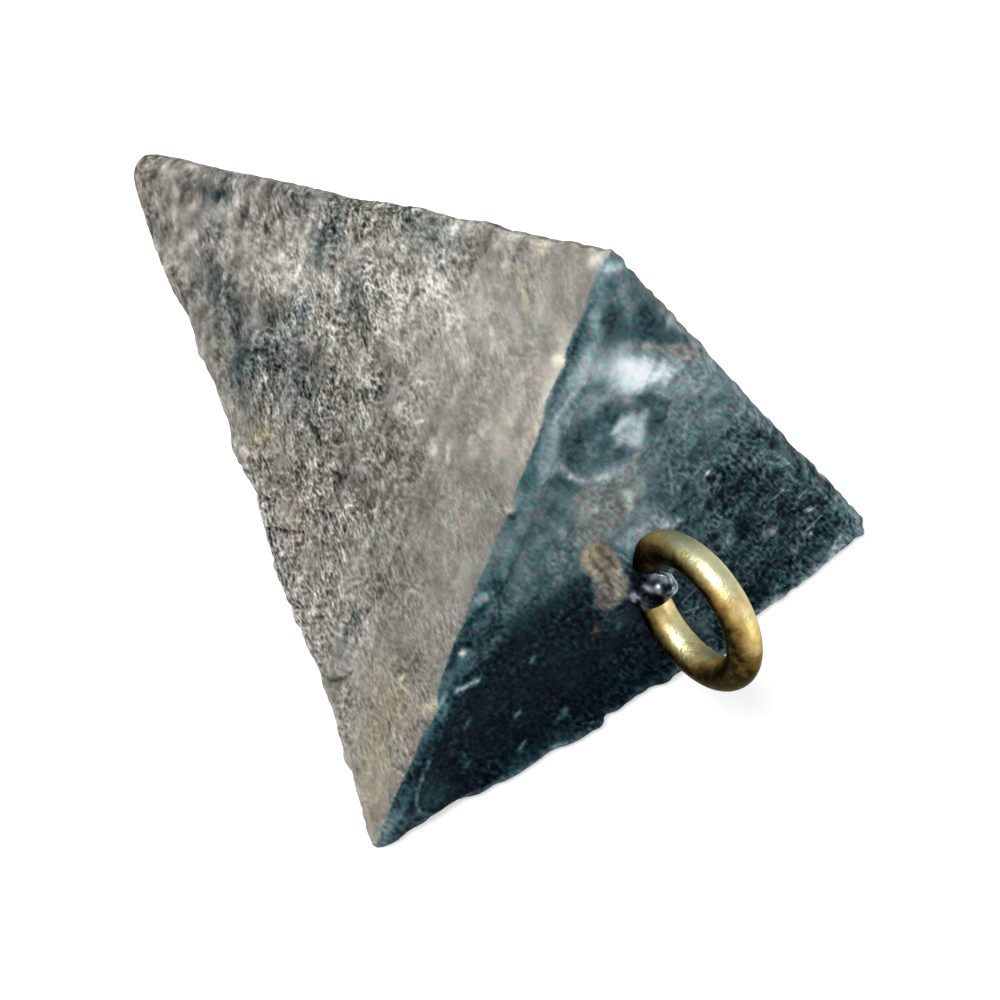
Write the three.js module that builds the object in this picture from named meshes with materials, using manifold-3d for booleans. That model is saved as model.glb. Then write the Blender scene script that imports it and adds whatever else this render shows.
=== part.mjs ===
// A three-sided pyramid sinker: a lead casting poured round the shank of a brass wire eye.
// Millimetres. Both pieces are drawn as the sinker hangs: the base faces up at z = 0, the point is
// straight below it, one ridge faces +Y, and the eye lies in the plane x = 0. That plane mirrors the
// whole sinker, apart from the mark left by the pour, which is slightly off it. The finished sinker is
// then laid on the side opposite that ridge, +Z up, with its point towards +Y.

import * as THREE from 'three';
import { ConvexGeometry } from 'three/addons/geometries/ConvexGeometry.js';
import { mergeVertices } from 'three/addons/utils/BufferGeometryUtils.js';
import Module from 'manifold-3d';

const wasm = await Module();
wasm.setup();

// Casting
const baseEdge = 48; // side of the base, between its corners as if they were sharp
const pointDepth = 64.5; // base to point, as if it were sharp
const pointRadius = 1.4;
const cornerRadius = 0.7; // also rounds the three edges of the base
const rimInset = 1.5; // sharp edge of the base to the line where the bevel meets the base
const rimDrop = 0.5; // how far that bevel falls
const rimCornerRadius = 2.6;
const rimWidth = 0.5; // flat top of the rim, outside the dish
const dishDepth = 0.4; // the metal sank inside its rim as it set
const dishSlope = 1.2; // width of the dish's sloping side
const lipReach = 1.1; // overflow along the edge that the sinker lies on, at mid-length

// Mark left by the pour, on the base between the eye and the ridge
const scarDiameter = 9.6;
const scarReach = 11.5; // from the pyramid's axis, towards the ridge
const scarOffset = 0.6; // out of the plane of the eye
const scarHeight = 0.5;
const scarRimWidth = 1.6;
const scarHollow = 0.35; // how far the middle of the mark lies below its rim

// Eye
const wireDiameter = 2.45;
const eyeDiameter = 12.3; // outside of the loop
const eyeRise = 6.2; // base to the centre of the loop
const eyeOffset = 0.7; // from the pyramid's axis, away from the ridge
const neckBendRadius = 1.5; // centreline of the bends where the loop turns into its legs
const legGap = 0.2;
const legDepth = 13; // base to where the feet splay
const footBendRadius = 3;
const footSplay = 40; // degrees
const footLength = 3.5;

// Lead round the foot of the eye
const collarHeight = 1.6; // above the floor of the dish
const collarSpread = 3.2; // width of its sweeping side
const collarWall = 0.6; // lead round the wire at the top of the collar
const coatWall = 0.35; // lead that crept up one leg of the loop
const coatAngle = 30; // degrees round the loop from its foot
const clearance = 0.25; // lead to wire

// Fineness of the curves
const cornerSteps = 6;
const rimSteps = 8;
const latheSteps = 32;
const wireSides = 12;
const wireRings = 2.7; // for each wire diameter of its length
const lipSides = 12;
const lipSteps = 16;

const apothem = baseEdge / (2 * Math.sqrt(3)); // centre of the base to the middle of an edge
const lean = Math.atan2(apothem, pointDepth); // between the axis and each side face
const wireRadius = wireDiameter / 2;
const loopRadius = eyeDiameter / 2 - wireRadius;
const legOffset = wireRadius + legGap / 2;
const neckReach = neckBendRadius + legOffset;
const neckAngle = Math.asin(neckReach / (loopRadius + neckBendRadius));
const neckHeight = eyeRise - (loopRadius + neckBendRadius) * Math.cos(neckAngle);
const up = new THREE.Vector3(0, 0, 1);

// Directions of the ridge and the other two corners, as angles about the axis
const corners = [0, 1, 2].map((turn) => Math.PI / 2 + (turn * 2 * Math.PI) / 3);
const oppositeSide = corners.map((angle) => angle + Math.PI);

function atAngle(angle, reach, z) {
	return new THREE.Vector3(reach * Math.cos(angle), reach * Math.sin(angle), z);
}

function sideNormal(angle) {
	return atAngle(angle, Math.cos(lean), -Math.sin(lean));
}

// Centre of the ball of a given radius that touches both side faces at a corner, at height z
function cornerCentre(angle, radius, z) {
	const sectionApothem = apothem * (1 + z / pointDepth);
	return atAngle(angle, 2 * (sectionApothem - radius / Math.cos(lean)), z);
}

// Points on the part of a ball between three face directions
function ballPatch(centre, radius, [a, b, c]) {
	const points = [];
	for (let i = 0; i <= cornerSteps; i++) {
		for (let j = 0; j <= cornerSteps - i; j++) {
			const direction = new THREE.Vector3();
			direction.addScaledVector(a, i);
			direction.addScaledVector(b, j);
			direction.addScaledVector(c, cornerSteps - i - j);
			points.push(direction.setLength(radius).add(centre));
		}
	}
	return points;
}

// A triangle with rounded corners, parallel to the base and inset from its sharp edges
function roundedTriangle(inset, radius, z) {
	const points = [];
	for (const corner of corners) {
		const centre = atAngle(corner, 2 * (apothem - inset - radius), z);
		for (let i = 0; i <= rimSteps; i++) {
			const angle = corner + ((i / rimSteps) * 2 - 1) * (Math.PI / 3);
			points.push(atAngle(angle, radius, 0).add(centre));
		}
	}
	return points;
}

function toSolid(geometry) {
	const bare = geometry.clone();
	bare.deleteAttribute('normal');
	bare.deleteAttribute('uv');
	const merged = mergeVertices(bare, 1e-5);
	return new wasm.Manifold(new wasm.Mesh({
		numProp: 3,
		vertProperties: new Float32Array(merged.getAttribute('position').array),
		triVerts: new Uint32Array(merged.getIndex().array),
	}));
}

function toGeometry(solid) {
	const mesh = solid.getMesh();
	const geometry = new THREE.BufferGeometry();
	geometry.setAttribute('position', new THREE.BufferAttribute(mesh.vertProperties, 3));
	geometry.setIndex(new THREE.BufferAttribute(mesh.triVerts, 1));
	geometry.computeVertexNormals();
	return geometry;
}

function sweep(curve, radius, sides, steps) {
	const section = new THREE.Shape().absarc(0, 0, radius, 0, 2 * Math.PI);
	return new THREE.ExtrudeGeometry(section, {
		steps,
		curveSegments: sides,
		extrudePath: curve,
	});
}

// A solid of revolution that stands on the base, from a profile of [radius, height] pairs
function turned(profile) {
	const points = profile.map(([radius, height]) => new THREE.Vector2(radius, height));
	return new THREE.LatheGeometry(points, latheSteps).rotateX(Math.PI / 2);
}

// Part of a drawing in the plane of the eye: its first axis runs towards the ridge, its second up
class EyePlaneCurve extends THREE.Curve {
	constructor(drawing, from = 0, to = 1) {
		super();
		this.drawing = drawing;
		this.from = from;
		this.to = to;
	}

	getPoint(t, target = new THREE.Vector3()) {
		const point = this.drawing.getPoint(THREE.MathUtils.lerp(this.from, this.to, t));
		return target.set(0, point.x - eyeOffset, point.y);
	}
}

// The wire from one foot, up its leg, round the loop and down to the other foot
function wireDrawing(footEnd) {
	const splay = THREE.MathUtils.degToRad(footSplay);
	const footReach = legOffset + footBendRadius;
	const footEndX = footReach - footBendRadius * Math.cos(splay) + footEnd * Math.sin(splay);
	const footEndZ = -legDepth - footBendRadius * Math.sin(splay) - footEnd * Math.cos(splay);
	const right = -Math.PI / 2 + neckAngle;
	const left = -Math.PI / 2 - neckAngle;

	const drawing = new THREE.Path();
	drawing.moveTo(footEndX, footEndZ);
	drawing.absarc(footReach, -legDepth, footBendRadius, Math.PI + splay, Math.PI, true);
	drawing.absarc(neckReach, neckHeight, neckBendRadius, Math.PI, Math.PI + right, true);
	drawing.absarc(0, eyeRise, loopRadius, right, left, false);
	drawing.absarc(-neckReach, neckHeight, neckBendRadius, left + Math.PI, 0, true);
	drawing.absarc(-footReach, -legDepth, footBendRadius, 0, -splay, true);
	drawing.lineTo(-footEndX, footEndZ);
	return drawing;
}

function sweepInEyePlane(curve, radius) {
	return sweep(curve, radius, wireSides, Math.round((curve.getLength() / wireDiameter) * wireRings));
}

// The pyramid with its rounded point, corners and edges, and a bevel round the base
function castingBlock() {
	const sides = oppositeSide.map(sideNormal);
	const point = new THREE.Vector3(0, 0, -pointDepth + pointRadius / Math.sin(lean));
	const points = ballPatch(point, pointRadius, sides);
	corners.forEach((corner, index) => {
		const centre = cornerCentre(corner, cornerRadius, -rimDrop - cornerRadius);
		const faces = sides.filter((side, opposite) => opposite !== index);
		points.push(...ballPatch(centre, cornerRadius, [...faces, up]));
	});
	points.push(...roundedTriangle(rimInset, rimCornerRadius, 0));
	return new ConvexGeometry(points);
}

// What the metal left empty inside the rim as it sank
function dish() {
	const outer = rimInset + rimWidth;
	const outerRadius = rimCornerRadius - rimWidth;
	return new ConvexGeometry([
		...roundedTriangle(outer, outerRadius, 1),
		...roundedTriangle(outer, outerRadius, 0),
		...roundedTriangle(outer + dishSlope, outerRadius, -dishDepth),
	]);
}

// A bead of overflow that bows out along the lower edge of the base, level with the resting side
function lip() {
	const [start, end] = corners.slice(1).map(
		(corner) => cornerCentre(corner, cornerRadius, -rimDrop - cornerRadius),
	);
	const outwards = new THREE.Vector3(0, -Math.sin(lean), Math.cos(lean));
	const bow = start.clone().add(end).multiplyScalar(0.5).addScaledVector(outwards, 2 * lipReach);
	const edge = new THREE.QuadraticBezierCurve3(start, bow, end);
	return sweep(edge, cornerRadius, lipSides, lipSteps);
}

function pourScar() {
	const radius = scarDiameter / 2;
	const profile = [
		[0, -dishDepth - scarHeight],
		[radius, -dishDepth - scarHeight],
		[radius - scarRimWidth / 3, scarHeight - dishDepth],
		[radius - (2 * scarRimWidth) / 3, scarHeight - dishDepth],
		[radius - scarRimWidth, scarHeight - dishDepth - scarHollow],
		[0, scarHeight - dishDepth],
	];
	return turned(profile).translate(-scarOffset, scarReach, 0);
}

// The lead drawn up round both legs, with a hollow sweep down to the base
function collar() {
	const inner = wireRadius + clearance + collarWall;
	const foot = -dishDepth;
	const profile = [[0, foot - collarHeight], [inner + collarSpread, foot - collarHeight]];
	const steps = 8;
	for (let i = 0; i <= steps; i++) {
		const turn = (i / steps) * (Math.PI / 2);
		const radius = inner + collarSpread * (1 - Math.sin(turn));
		profile.push([radius, foot + collarHeight * (1 - Math.cos(turn))]);
	}
	profile.push([0, foot + collarHeight]);
	const geometry = turned(profile);
	const position = geometry.getAttribute('position');
	for (let i = 0; i < position.count; i++) {
		const y = position.getY(i);
		const shift = Math.abs(y) < 1e-6 ? 0 : Math.sign(y) * legOffset;
		position.setY(i, y + shift - eyeOffset);
	}
	return geometry;
}

// Lead that crept up the leg of the loop that is away from the ridge
function coat() {
	const left = -Math.PI / 2 - neckAngle;
	const end = -Math.PI / 2 - THREE.MathUtils.degToRad(coatAngle);
	const drawing = new THREE.Path();
	drawing.moveTo(-legOffset, -dishDepth);
	drawing.absarc(-neckReach, neckHeight, neckBendRadius, 0, left + Math.PI, false);
	drawing.absarc(0, eyeRise, loopRadius, left, end, true);
	return sweepInEyePlane(new EyePlaneCurve(drawing), wireRadius + clearance + coatWall);
}

function leadCasting() {
	const added = [lip(), pourScar(), collar(), coat()];
	let solid = toSolid(castingBlock()).subtract(toSolid(dish()));
	for (const geometry of added) {
		solid = solid.add(toSolid(geometry));
	}
	const drawing = wireDrawing(footLength + clearance);
	for (const half of [new EyePlaneCurve(drawing, 0, 0.5), new EyePlaneCurve(drawing, 0.5, 1)]) {
		solid = solid.subtract(toSolid(sweepInEyePlane(half, wireRadius + clearance)));
	}
	return toGeometry(solid);
}

const lead = new THREE.MeshStandardMaterial({ color: 0x6f6d69, roughness: 0.62, metalness: 0.75 });
const brass = new THREE.MeshStandardMaterial({ color: 0xa88a45, roughness: 0.38, metalness: 1 });

const casting = new THREE.Mesh(leadCasting(), lead);
casting.name = 'lead_casting';

const wire = new EyePlaneCurve(wireDrawing(footLength));
const eye = new THREE.Mesh(sweepInEyePlane(wire, wireRadius), brass);
eye.name = 'brass_eye';

const hanging = new THREE.Group();
hanging.add(casting, eye);
hanging.rotation.x = Math.PI / 2 - lean;
hanging.position.z = apothem * Math.cos(lean);

const sinker = new THREE.Group();
sinker.name = 'pyramid_sinker';
sinker.add(hanging);

// The origin is on the resting side, under the middle of the sinker's length
const envelope = new THREE.Box3().setFromObject(sinker, true);
hanging.position.y -= (envelope.min.y + envelope.max.y) / 2;

export default sinker;
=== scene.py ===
"""A lead pyramid sinker with a brass wire eye, lying on one side.

Shapes are written in millimetres and drawn as the sinker hangs: the base faces up at z = 0, the point
is below it, the ridge corner faces +Y and the eye lies in the plane x = 0. The function to_frame puts
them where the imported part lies, in metres. Tones run from 0, black, to 1, nearly white.
"""

import math

import bmesh
import bpy
import numpy as np
from mathutils import Matrix, Vector

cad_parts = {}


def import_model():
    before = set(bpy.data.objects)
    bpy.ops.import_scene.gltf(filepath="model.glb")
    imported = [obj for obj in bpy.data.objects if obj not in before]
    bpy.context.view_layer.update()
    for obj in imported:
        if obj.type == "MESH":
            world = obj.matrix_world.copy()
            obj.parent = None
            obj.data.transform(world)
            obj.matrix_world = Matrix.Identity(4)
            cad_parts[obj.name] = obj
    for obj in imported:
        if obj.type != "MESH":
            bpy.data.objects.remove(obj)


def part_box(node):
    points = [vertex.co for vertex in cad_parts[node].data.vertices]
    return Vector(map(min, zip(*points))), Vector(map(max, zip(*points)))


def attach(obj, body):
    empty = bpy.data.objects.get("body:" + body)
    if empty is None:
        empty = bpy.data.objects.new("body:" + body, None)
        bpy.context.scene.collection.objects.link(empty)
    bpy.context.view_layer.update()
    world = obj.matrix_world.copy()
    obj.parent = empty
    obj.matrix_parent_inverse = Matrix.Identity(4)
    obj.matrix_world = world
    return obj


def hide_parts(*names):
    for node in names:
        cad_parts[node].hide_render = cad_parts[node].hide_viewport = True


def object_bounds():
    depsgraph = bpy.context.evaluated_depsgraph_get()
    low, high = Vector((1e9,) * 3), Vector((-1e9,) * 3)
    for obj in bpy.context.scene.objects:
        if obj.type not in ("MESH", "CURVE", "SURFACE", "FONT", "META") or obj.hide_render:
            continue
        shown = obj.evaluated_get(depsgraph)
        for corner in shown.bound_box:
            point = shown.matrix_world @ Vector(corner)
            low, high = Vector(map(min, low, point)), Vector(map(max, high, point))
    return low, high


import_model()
cad_low, cad_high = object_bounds()

MM = 0.001

# Casting
BASE_EDGE = 48.0
POINT_DEPTH = 64.5
POINT_RADIUS = 1.4
CORNER_RADIUS = 0.7
RIM_INSET = 1.5
RIM_DROP = 0.5
RIM_CORNER_RADIUS = 2.6
DISH_SLOPE = 1.5
DISH_DEPTH = 0.4
REMESH_SIZE = 0.2
SMOOTHING_ROUNDS = 6

# Raised line round the dish: how far inside the edges B to C, C to A and A to B it runs
RIM_LINE_INSETS = (1.0, 1.4, 1.2)

# Overflow beyond the lower edge of the base: place along it from corner B to corner C, and reach
LIP = (
    (-24.0, 0.0), (-20.5, 0.15), (-19.3, 0.25), (-18.7, 0.0), (-16.6, 0.0), (-15.0, 0.6),
    (-13.0, 0.9), (-9.5, 1.05), (-6.0, 1.45), (-4.7, 1.55), (-4.0, 0.95), (-2.5, 1.3), (0.5, 1.2),
    (1.6, 1.55), (3.2, 1.5), (5.0, 1.4), (6.6, 2.4), (8.6, 2.4), (10.0, 1.3), (12.5, 1.15),
    (16.5, 1.05), (20.0, 0.6), (24.0, 0.5),
)
LIP_RADIUS = 0.62
LIP_STEP = 0.3

# Wear of the long edges: distance down the side from the base, and how far the edge stands out
EDGE_WEAR = (
    ((0, 0.1), (2, 0.3), (8, 0.0), (11, -0.2), (14, 0.2), (19, 0.5), (22, 0.3), (26, 0.0), (32, -0.4),
     (35, 0.0), (41, 0.15), (48, -0.1), (52, 0.15), (64, 0.1)),
    ((0, 0.2), (3, 0.45), (5, 0.15), (8, 0.3), (11, -0.1), (14, -0.35), (17, -0.1), (20, -0.05),
     (23, 0.3), (25, 0.0), (29.5, -0.5), (32, -0.1), (34, 0.15), (36, -0.25), (40, -0.25), (43, 0.15),
     (46, -0.25), (50, 0.55), (52, 0.8), (56, 0.75), (59, 0.45), (64, 0.2)),
    ((0, 0.2), (6, 0.0), (15, -0.2), (24, 0.15), (33, 0.0), (45, -0.2), (64, 0.1)),
)

# Grain of a side: distance down it, and the strength of its finest, fine, middling and broad marks
SIDE_GRAIN = (
    (0, 0.035, 0.055, 0.06, 0.05), (8, 0.05, 0.075, 0.075, 0.055), (14, 0.08, 0.14, 0.11, 0.06),
    (22, 0.18, 0.23, 0.18, 0.07), (32, 0.16, 0.21, 0.18, 0.08), (37, 0.08, 0.17, 0.18, 0.09),
    (50, 0.05, 0.13, 0.18, 0.11), (64, 0.05, 0.12, 0.20, 0.11),
)

# Mark left by the pour
SCAR_CENTRE = (-1.0, 12.9)
SCAR_RADIUS = 4.6

# Eye
WIRE_RADIUS = 1.225
LOOP_RADIUS = 4.925
EYE_RISE = 6.2
EYE_OFFSET = 0.7
NECK_BEND = 1.5
LEG_GAP = 0.2
LEG_DEPTH = 13.0
FOOT_BEND = 3.0
FOOT_SPLAY = math.radians(40)
FOOT_LENGTH = 3.5
WIRE_SIDES = 32
WIRE_STEP = 0.3

# Lead round the foot of the eye, up one leg and in a drop beside it
COLLAR_HEIGHT = 1.3
COLLAR_INNER = 1.75
COLLAR_SPREAD = 3.4
COAT_RADIUS = 1.42
COAT_ANGLE = math.radians(30)
DROP_CENTRE = (0.80, -1.75, 2.35)
DROP_RADIUS = 0.85
# Middle of the drop, left dark in its painted glint as painted shade
SHADED_PLACE = (0.5, -1.2, 3.0)
RIDGE_ENDS = ((0.2, -0.75, 1.3), (0.95, -0.95, 2.3))
RIDGE_RADIUS = 0.45

# Marks on the base are placed where a slanted line through them meets z = 0: its x and y for each z
SLANT = (0.815, -1.333)

# Camera, in the frame
CAMERA_AZIMUTH = math.radians(-45.36)
CAMERA_ELEVATION = math.radians(53.88)
CAMERA_ROLL = math.radians(7.29)
CAMERA_AIM = (-1.82, -10.98, 8.42)
CAMERA_DISTANCE = 225.3
FIELD_OF_VIEW = math.radians(18)

APOTHEM = BASE_EDGE / (2 * math.sqrt(3))
LEAN = math.atan2(APOTHEM, POINT_DEPTH)
LEG_OFFSET = WIRE_RADIUS + LEG_GAP / 2
NECK_REACH = NECK_BEND + LEG_OFFSET
NECK_ANGLE = math.asin(NECK_REACH / (LOOP_RADIUS + NECK_BEND))
NECK_HEIGHT = EYE_RISE - (LOOP_RADIUS + NECK_BEND) * math.cos(NECK_ANGLE)

# The corners A, B and C, and the sides that face them: B to C, C to A and A to B
CORNERS = [math.pi / 2 + turn * 2 * math.pi / 3 for turn in range(3)]
SIDES = [angle + math.pi for angle in CORNERS]
RESTING, RIGHT, LEFT = range(3)


def to_frame(points):
    """Hanging millimetres to metres in the frame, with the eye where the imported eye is."""
    points = np.asarray(points, float)
    eye_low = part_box("brass_eye")[0].y / MM
    eye_reach = LOOP_RADIUS + WIRE_RADIUS
    shift = eye_low + eye_reach + EYE_OFFSET * math.sin(LEAN) + EYE_RISE * math.cos(LEAN)
    x, y, z = points.T
    lying = np.stack([
        x,
        y * math.sin(LEAN) - z * math.cos(LEAN) + shift,
        y * math.cos(LEAN) + z * math.sin(LEAN) + APOTHEM * math.cos(LEAN),
    ], axis=1)
    return lying * MM


def smooth(low, high, value):
    part = np.clip((value - low) / (high - low), 0, 1)
    return part * part * (3 - 2 * part)


def bump(distance, width):
    return np.exp(-((distance / width) ** 2))


def table(rows, places):
    """Values between the rows of a table whose first column holds the places."""
    columns = np.array(rows, float).T
    return [np.interp(places, columns[0], column) for column in columns[1:]]


def lattice_noise(points, seed):
    """Smooth noise from -1 to 1 from random values on a unit grid."""
    cell = np.floor(points).astype(np.int64)
    part = points - cell
    part = part * part * (3 - 2 * part)
    total = np.zeros(len(points))
    for corner in np.ndindex(2, 2, 2):
        weight = np.prod(np.where(corner, part, 1 - part), axis=1)
        key = (cell + corner) @ np.array([374761393, 668265263, 1274126177]) + seed * 974634777
        key = ((key ^ (key >> 13)) * 1103515245) & 0xFFFFFFFF
        key = ((key ^ (key >> 16)) * 1664525) & 0xFFFFFFFF
        total += weight * (((key ^ (key >> 15)) & 0xFFFF) / 32767.5 - 1)
    return total


def layered_noise(points, size, seed, layers=3):
    """Noise whose finer layers are weaker."""
    total = np.zeros(len(points))
    for layer in range(layers):
        total += lattice_noise(points * (2**layer / size), seed + layer) / 2**layer
    return total


def even_noise(points, sizes, seed):
    """Noise with one equally strong layer for each size in millimetres."""
    return sum(lattice_noise(points / size, seed + layer) for layer, size in enumerate(sizes))


def at_angle(angle, reach, z):
    return np.array([reach * math.cos(angle), reach * math.sin(angle), z])


def side_axes(angle):
    """Across one side face, down it and out of it."""
    across = at_angle(angle + math.pi / 2, 1, 0)
    down = at_angle(angle, -math.sin(LEAN), -math.cos(LEAN))
    outwards = at_angle(angle, math.cos(LEAN), -math.sin(LEAN))
    return across, down, outwards


def on_side(points, angle):
    """Places across, down and out of a side face, from the middle of its edge with the base."""
    from_edge_middle = points - at_angle(angle, APOTHEM, 0)
    return [from_edge_middle @ axis for axis in side_axes(angle)]


def corner_centre(angle, radius, z):
    """Centre of the ball of a given radius that touches both side faces at a corner."""
    section = APOTHEM * (1 + z / POINT_DEPTH)
    return at_angle(angle, 2 * (section - radius / math.cos(LEAN)), z)


def new_object(name, points, faces):
    mesh = bpy.data.meshes.new(name)
    mesh.from_pydata([tuple(point) for point in points], [], faces)
    mesh.update()
    made = bpy.data.objects.new(name, mesh)
    bpy.context.scene.collection.objects.link(made)
    return made


def ball_points(centre, radius, count=240):
    """Points spread evenly over a ball."""
    index = np.arange(count) + 0.5
    height = 1 - 2 * index / count
    turn = index * math.pi * (3 - math.sqrt(5))
    ring = np.sqrt(1 - height**2)
    ball = np.stack([ring * np.cos(turn), ring * np.sin(turn), height], axis=1)
    return ball * radius + centre


def rounded_triangle(inset, radius, z, steps=12):
    points = []
    for corner in CORNERS:
        centre = at_angle(corner, 2 * (APOTHEM - inset - radius), z)
        for step in range(steps + 1):
            angle = corner + (step / steps * 2 - 1) * math.pi / 3
            points.append(centre + at_angle(angle, radius, 0))
    return points


def hull(points):
    """The faces that wrap a set of points."""
    form = bmesh.new()
    for point in points:
        form.verts.new(point)
    found = bmesh.ops.convex_hull(form, input=form.verts)
    bmesh.ops.delete(form, geom=list(set(found["geom_interior"] + found["geom_unused"])), context="VERTS")
    form.verts.index_update()
    places = [tuple(vertex.co) for vertex in form.verts]
    faces = [[vertex.index for vertex in face.verts] for face in form.faces]
    form.free()
    return places, faces


def block():
    """The pyramid with its rounded point, corners and edges, and the bevel round its base."""
    points = list(ball_points((0, 0, -POINT_DEPTH + POINT_RADIUS / math.sin(LEAN)), POINT_RADIUS))
    for corner in CORNERS:
        centre = corner_centre(corner, CORNER_RADIUS, -RIM_DROP - CORNER_RADIUS)
        points.extend(ball_points(centre, CORNER_RADIUS))
    points.extend(rounded_triangle(RIM_INSET, RIM_CORNER_RADIUS, 0))
    return hull(points)


def tube(path, radii, plane_normal, sides=WIRE_SIDES):
    """A closed tube along a path that lies in one plane."""
    path = np.asarray(path, float)
    radii = np.broadcast_to(radii, (len(path),))
    along = np.gradient(path, axis=0)
    along /= np.linalg.norm(along, axis=1)[:, None]
    across = np.cross(plane_normal, along)
    turns = np.arange(sides) * 2 * math.pi / sides
    points = []
    for centre, radius, side in zip(path, radii, across):
        ring = np.outer(np.cos(turns), side) + np.outer(np.sin(turns), plane_normal)
        points.extend(centre + radius * ring)
    faces = []
    for ring in range(len(path) - 1):
        for step in range(sides):
            here, beside = ring * sides + step, ring * sides + (step + 1) % sides
            faces.append([here, beside, beside + sides, here + sides])
    faces.append(list(range(sides))[::-1])
    faces.append([(len(path) - 1) * sides + step for step in range(sides)])
    return points, faces


def lathe(profile, steps=48):
    """A closed solid of revolution about z from [radius, height] pairs that start and end on it."""
    turns = np.arange(steps) * 2 * math.pi / steps
    points = [(0, 0, profile[0][1])]
    for radius, height in profile[1:-1]:
        points.extend((radius * math.cos(turn), radius * math.sin(turn), height) for turn in turns)
    points.append((0, 0, profile[-1][1]))
    faces = []
    for step in range(steps):
        beside = (step + 1) % steps
        faces.append([0, 1 + beside, 1 + step])
        for ring in range(len(profile) - 3):
            low = 1 + ring * steps
            faces.append([low + step, low + beside, low + steps + beside, low + steps + step])
        last = 1 + (len(profile) - 3) * steps
        faces.append([last + step, last + beside, len(points) - 1])
    return points, faces


def arc(centre, radius, start, end, step):
    count = max(2, round(abs(end - start) * radius / step))
    angles = np.linspace(start, end, count + 1)
    return np.stack([centre[0] + radius * np.cos(angles), centre[1] + radius * np.sin(angles)], axis=1)


def in_eye_plane(drawing):
    drawing = np.asarray(drawing, float)
    return np.stack([np.zeros(len(drawing)), drawing[:, 0] - EYE_OFFSET, drawing[:, 1]], axis=1)


def wire_path():
    """From one foot up its leg, round the loop and down to the other foot."""
    foot_reach = LEG_OFFSET + FOOT_BEND
    foot_x = foot_reach - FOOT_BEND * math.cos(FOOT_SPLAY) + FOOT_LENGTH * math.sin(FOOT_SPLAY)
    foot_z = -LEG_DEPTH - FOOT_BEND * math.sin(FOOT_SPLAY) - FOOT_LENGTH * math.cos(FOOT_SPLAY)
    right = -math.pi / 2 + NECK_ANGLE
    half = [
        np.array([[foot_x, foot_z]]),
        arc((foot_reach, -LEG_DEPTH), FOOT_BEND, math.pi + FOOT_SPLAY, math.pi, WIRE_STEP),
        arc((NECK_REACH, NECK_HEIGHT), NECK_BEND, math.pi, math.pi + right, WIRE_STEP),
        arc((0, EYE_RISE), LOOP_RADIUS, right, math.pi / 2, WIRE_STEP),
    ]
    half = np.concatenate(half)
    keep = np.concatenate([[True], np.linalg.norm(np.diff(half, axis=0), axis=1) > 1e-4])
    half = half[keep]
    other = half[-2::-1] * (-1, 1)
    return in_eye_plane(np.concatenate([half, other]))


def coat_path():
    """Up the leg that is away from the ridge, to where the lead stops on the loop."""
    left = -math.pi / 2 - NECK_ANGLE
    path = np.concatenate([
        [[-LEG_OFFSET, -1.0]],
        arc((-NECK_REACH, NECK_HEIGHT), NECK_BEND, 0, left + math.pi, WIRE_STEP),
        arc((0, EYE_RISE), LOOP_RADIUS, left, -math.pi / 2 - COAT_ANGLE, WIRE_STEP)[1:],
    ])
    return in_eye_plane(path)


def collar():
    profile = [(0, -2.0), (COLLAR_INNER + COLLAR_SPREAD, -2.0)]
    for turn in np.linspace(0, math.pi / 2, 12):
        radius = COLLAR_INNER + COLLAR_SPREAD * (1 - math.sin(turn))
        profile.append((radius, COLLAR_HEIGHT * (1 - math.cos(turn))))
    profile.append((0, COLLAR_HEIGHT))
    points, faces = lathe(profile)
    points = np.array(points)
    points[:, 1] += np.clip(points[:, 1] * 4, -1, 1) * LEG_OFFSET - EYE_OFFSET
    return points, faces


def coat():
    """Lead that crept up one leg, drawn in where it stops."""
    path = coat_path()
    share = np.linspace(0, 1, len(path))
    return tube(path, COAT_RADIUS - 0.15 * smooth(0.8, 1, share), (1.0, 0, 0), 24)


def lip_tubes():
    """Overflow that runs along the lower edge of the base, as tubes side by side."""
    start, end = [
        corner_centre(corner, CORNER_RADIUS, -RIM_DROP - CORNER_RADIUS) for corner in CORNERS[1:]
    ]
    outwards = -side_axes(SIDES[RESTING])[1]
    count = round(np.linalg.norm(end - start) / LIP_STEP)
    line = start + np.outer(np.linspace(0, 1, count + 1), end - start)
    reach = table(LIP, line[:, 0])[0]
    plane_normal = np.cross((end - start) / np.linalg.norm(end - start), outwards)
    for part in (0.0, 0.35, 0.7, 1.0):
        uneven = lattice_noise(line / 0.9, 47 + round(3 * part))
        offset = part * np.maximum(reach + 0.12 * uneven - LIP_RADIUS + CORNER_RADIUS, 0)
        radii = LIP_RADIUS * (1 + 0.12 * uneven)
        yield tube(line + np.outer(offset, outwards), radii, plane_normal, 16)


def remeshed(name, parts, size):
    """One closed and slightly worn skin round all the parts, as even quads."""
    points, faces = [], []
    for part_points, part_faces in parts:
        faces.extend([[index + len(points) for index in face] for face in part_faces])
        points.extend(part_points)
    rough = new_object(name + "_rough", points, faces)
    voxels = rough.modifiers.new("skin", "REMESH")
    voxels.mode = "VOXEL"
    voxels.voxel_size = size
    worn = rough.modifiers.new("worn", "SMOOTH")
    worn.factor = 0.5
    worn.iterations = SMOOTHING_ROUNDS
    evaluated = rough.evaluated_get(bpy.context.evaluated_depsgraph_get())
    mesh = bpy.data.meshes.new_from_object(evaluated)
    mesh.name = name
    made = bpy.data.objects.new(name, mesh)
    bpy.context.scene.collection.objects.link(made)
    bpy.data.objects.remove(rough)
    return made


def read(mesh, what, owner="vertices"):
    values = np.zeros(len(getattr(mesh, owner)) * 3, np.float32)
    getattr(mesh, owner).foreach_get(what, values)
    return values.reshape(-1, 3).astype(float)


def write_points(mesh, points):
    mesh.vertices.foreach_set("co", np.asarray(points, np.float32).ravel())
    mesh.update()


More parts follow.
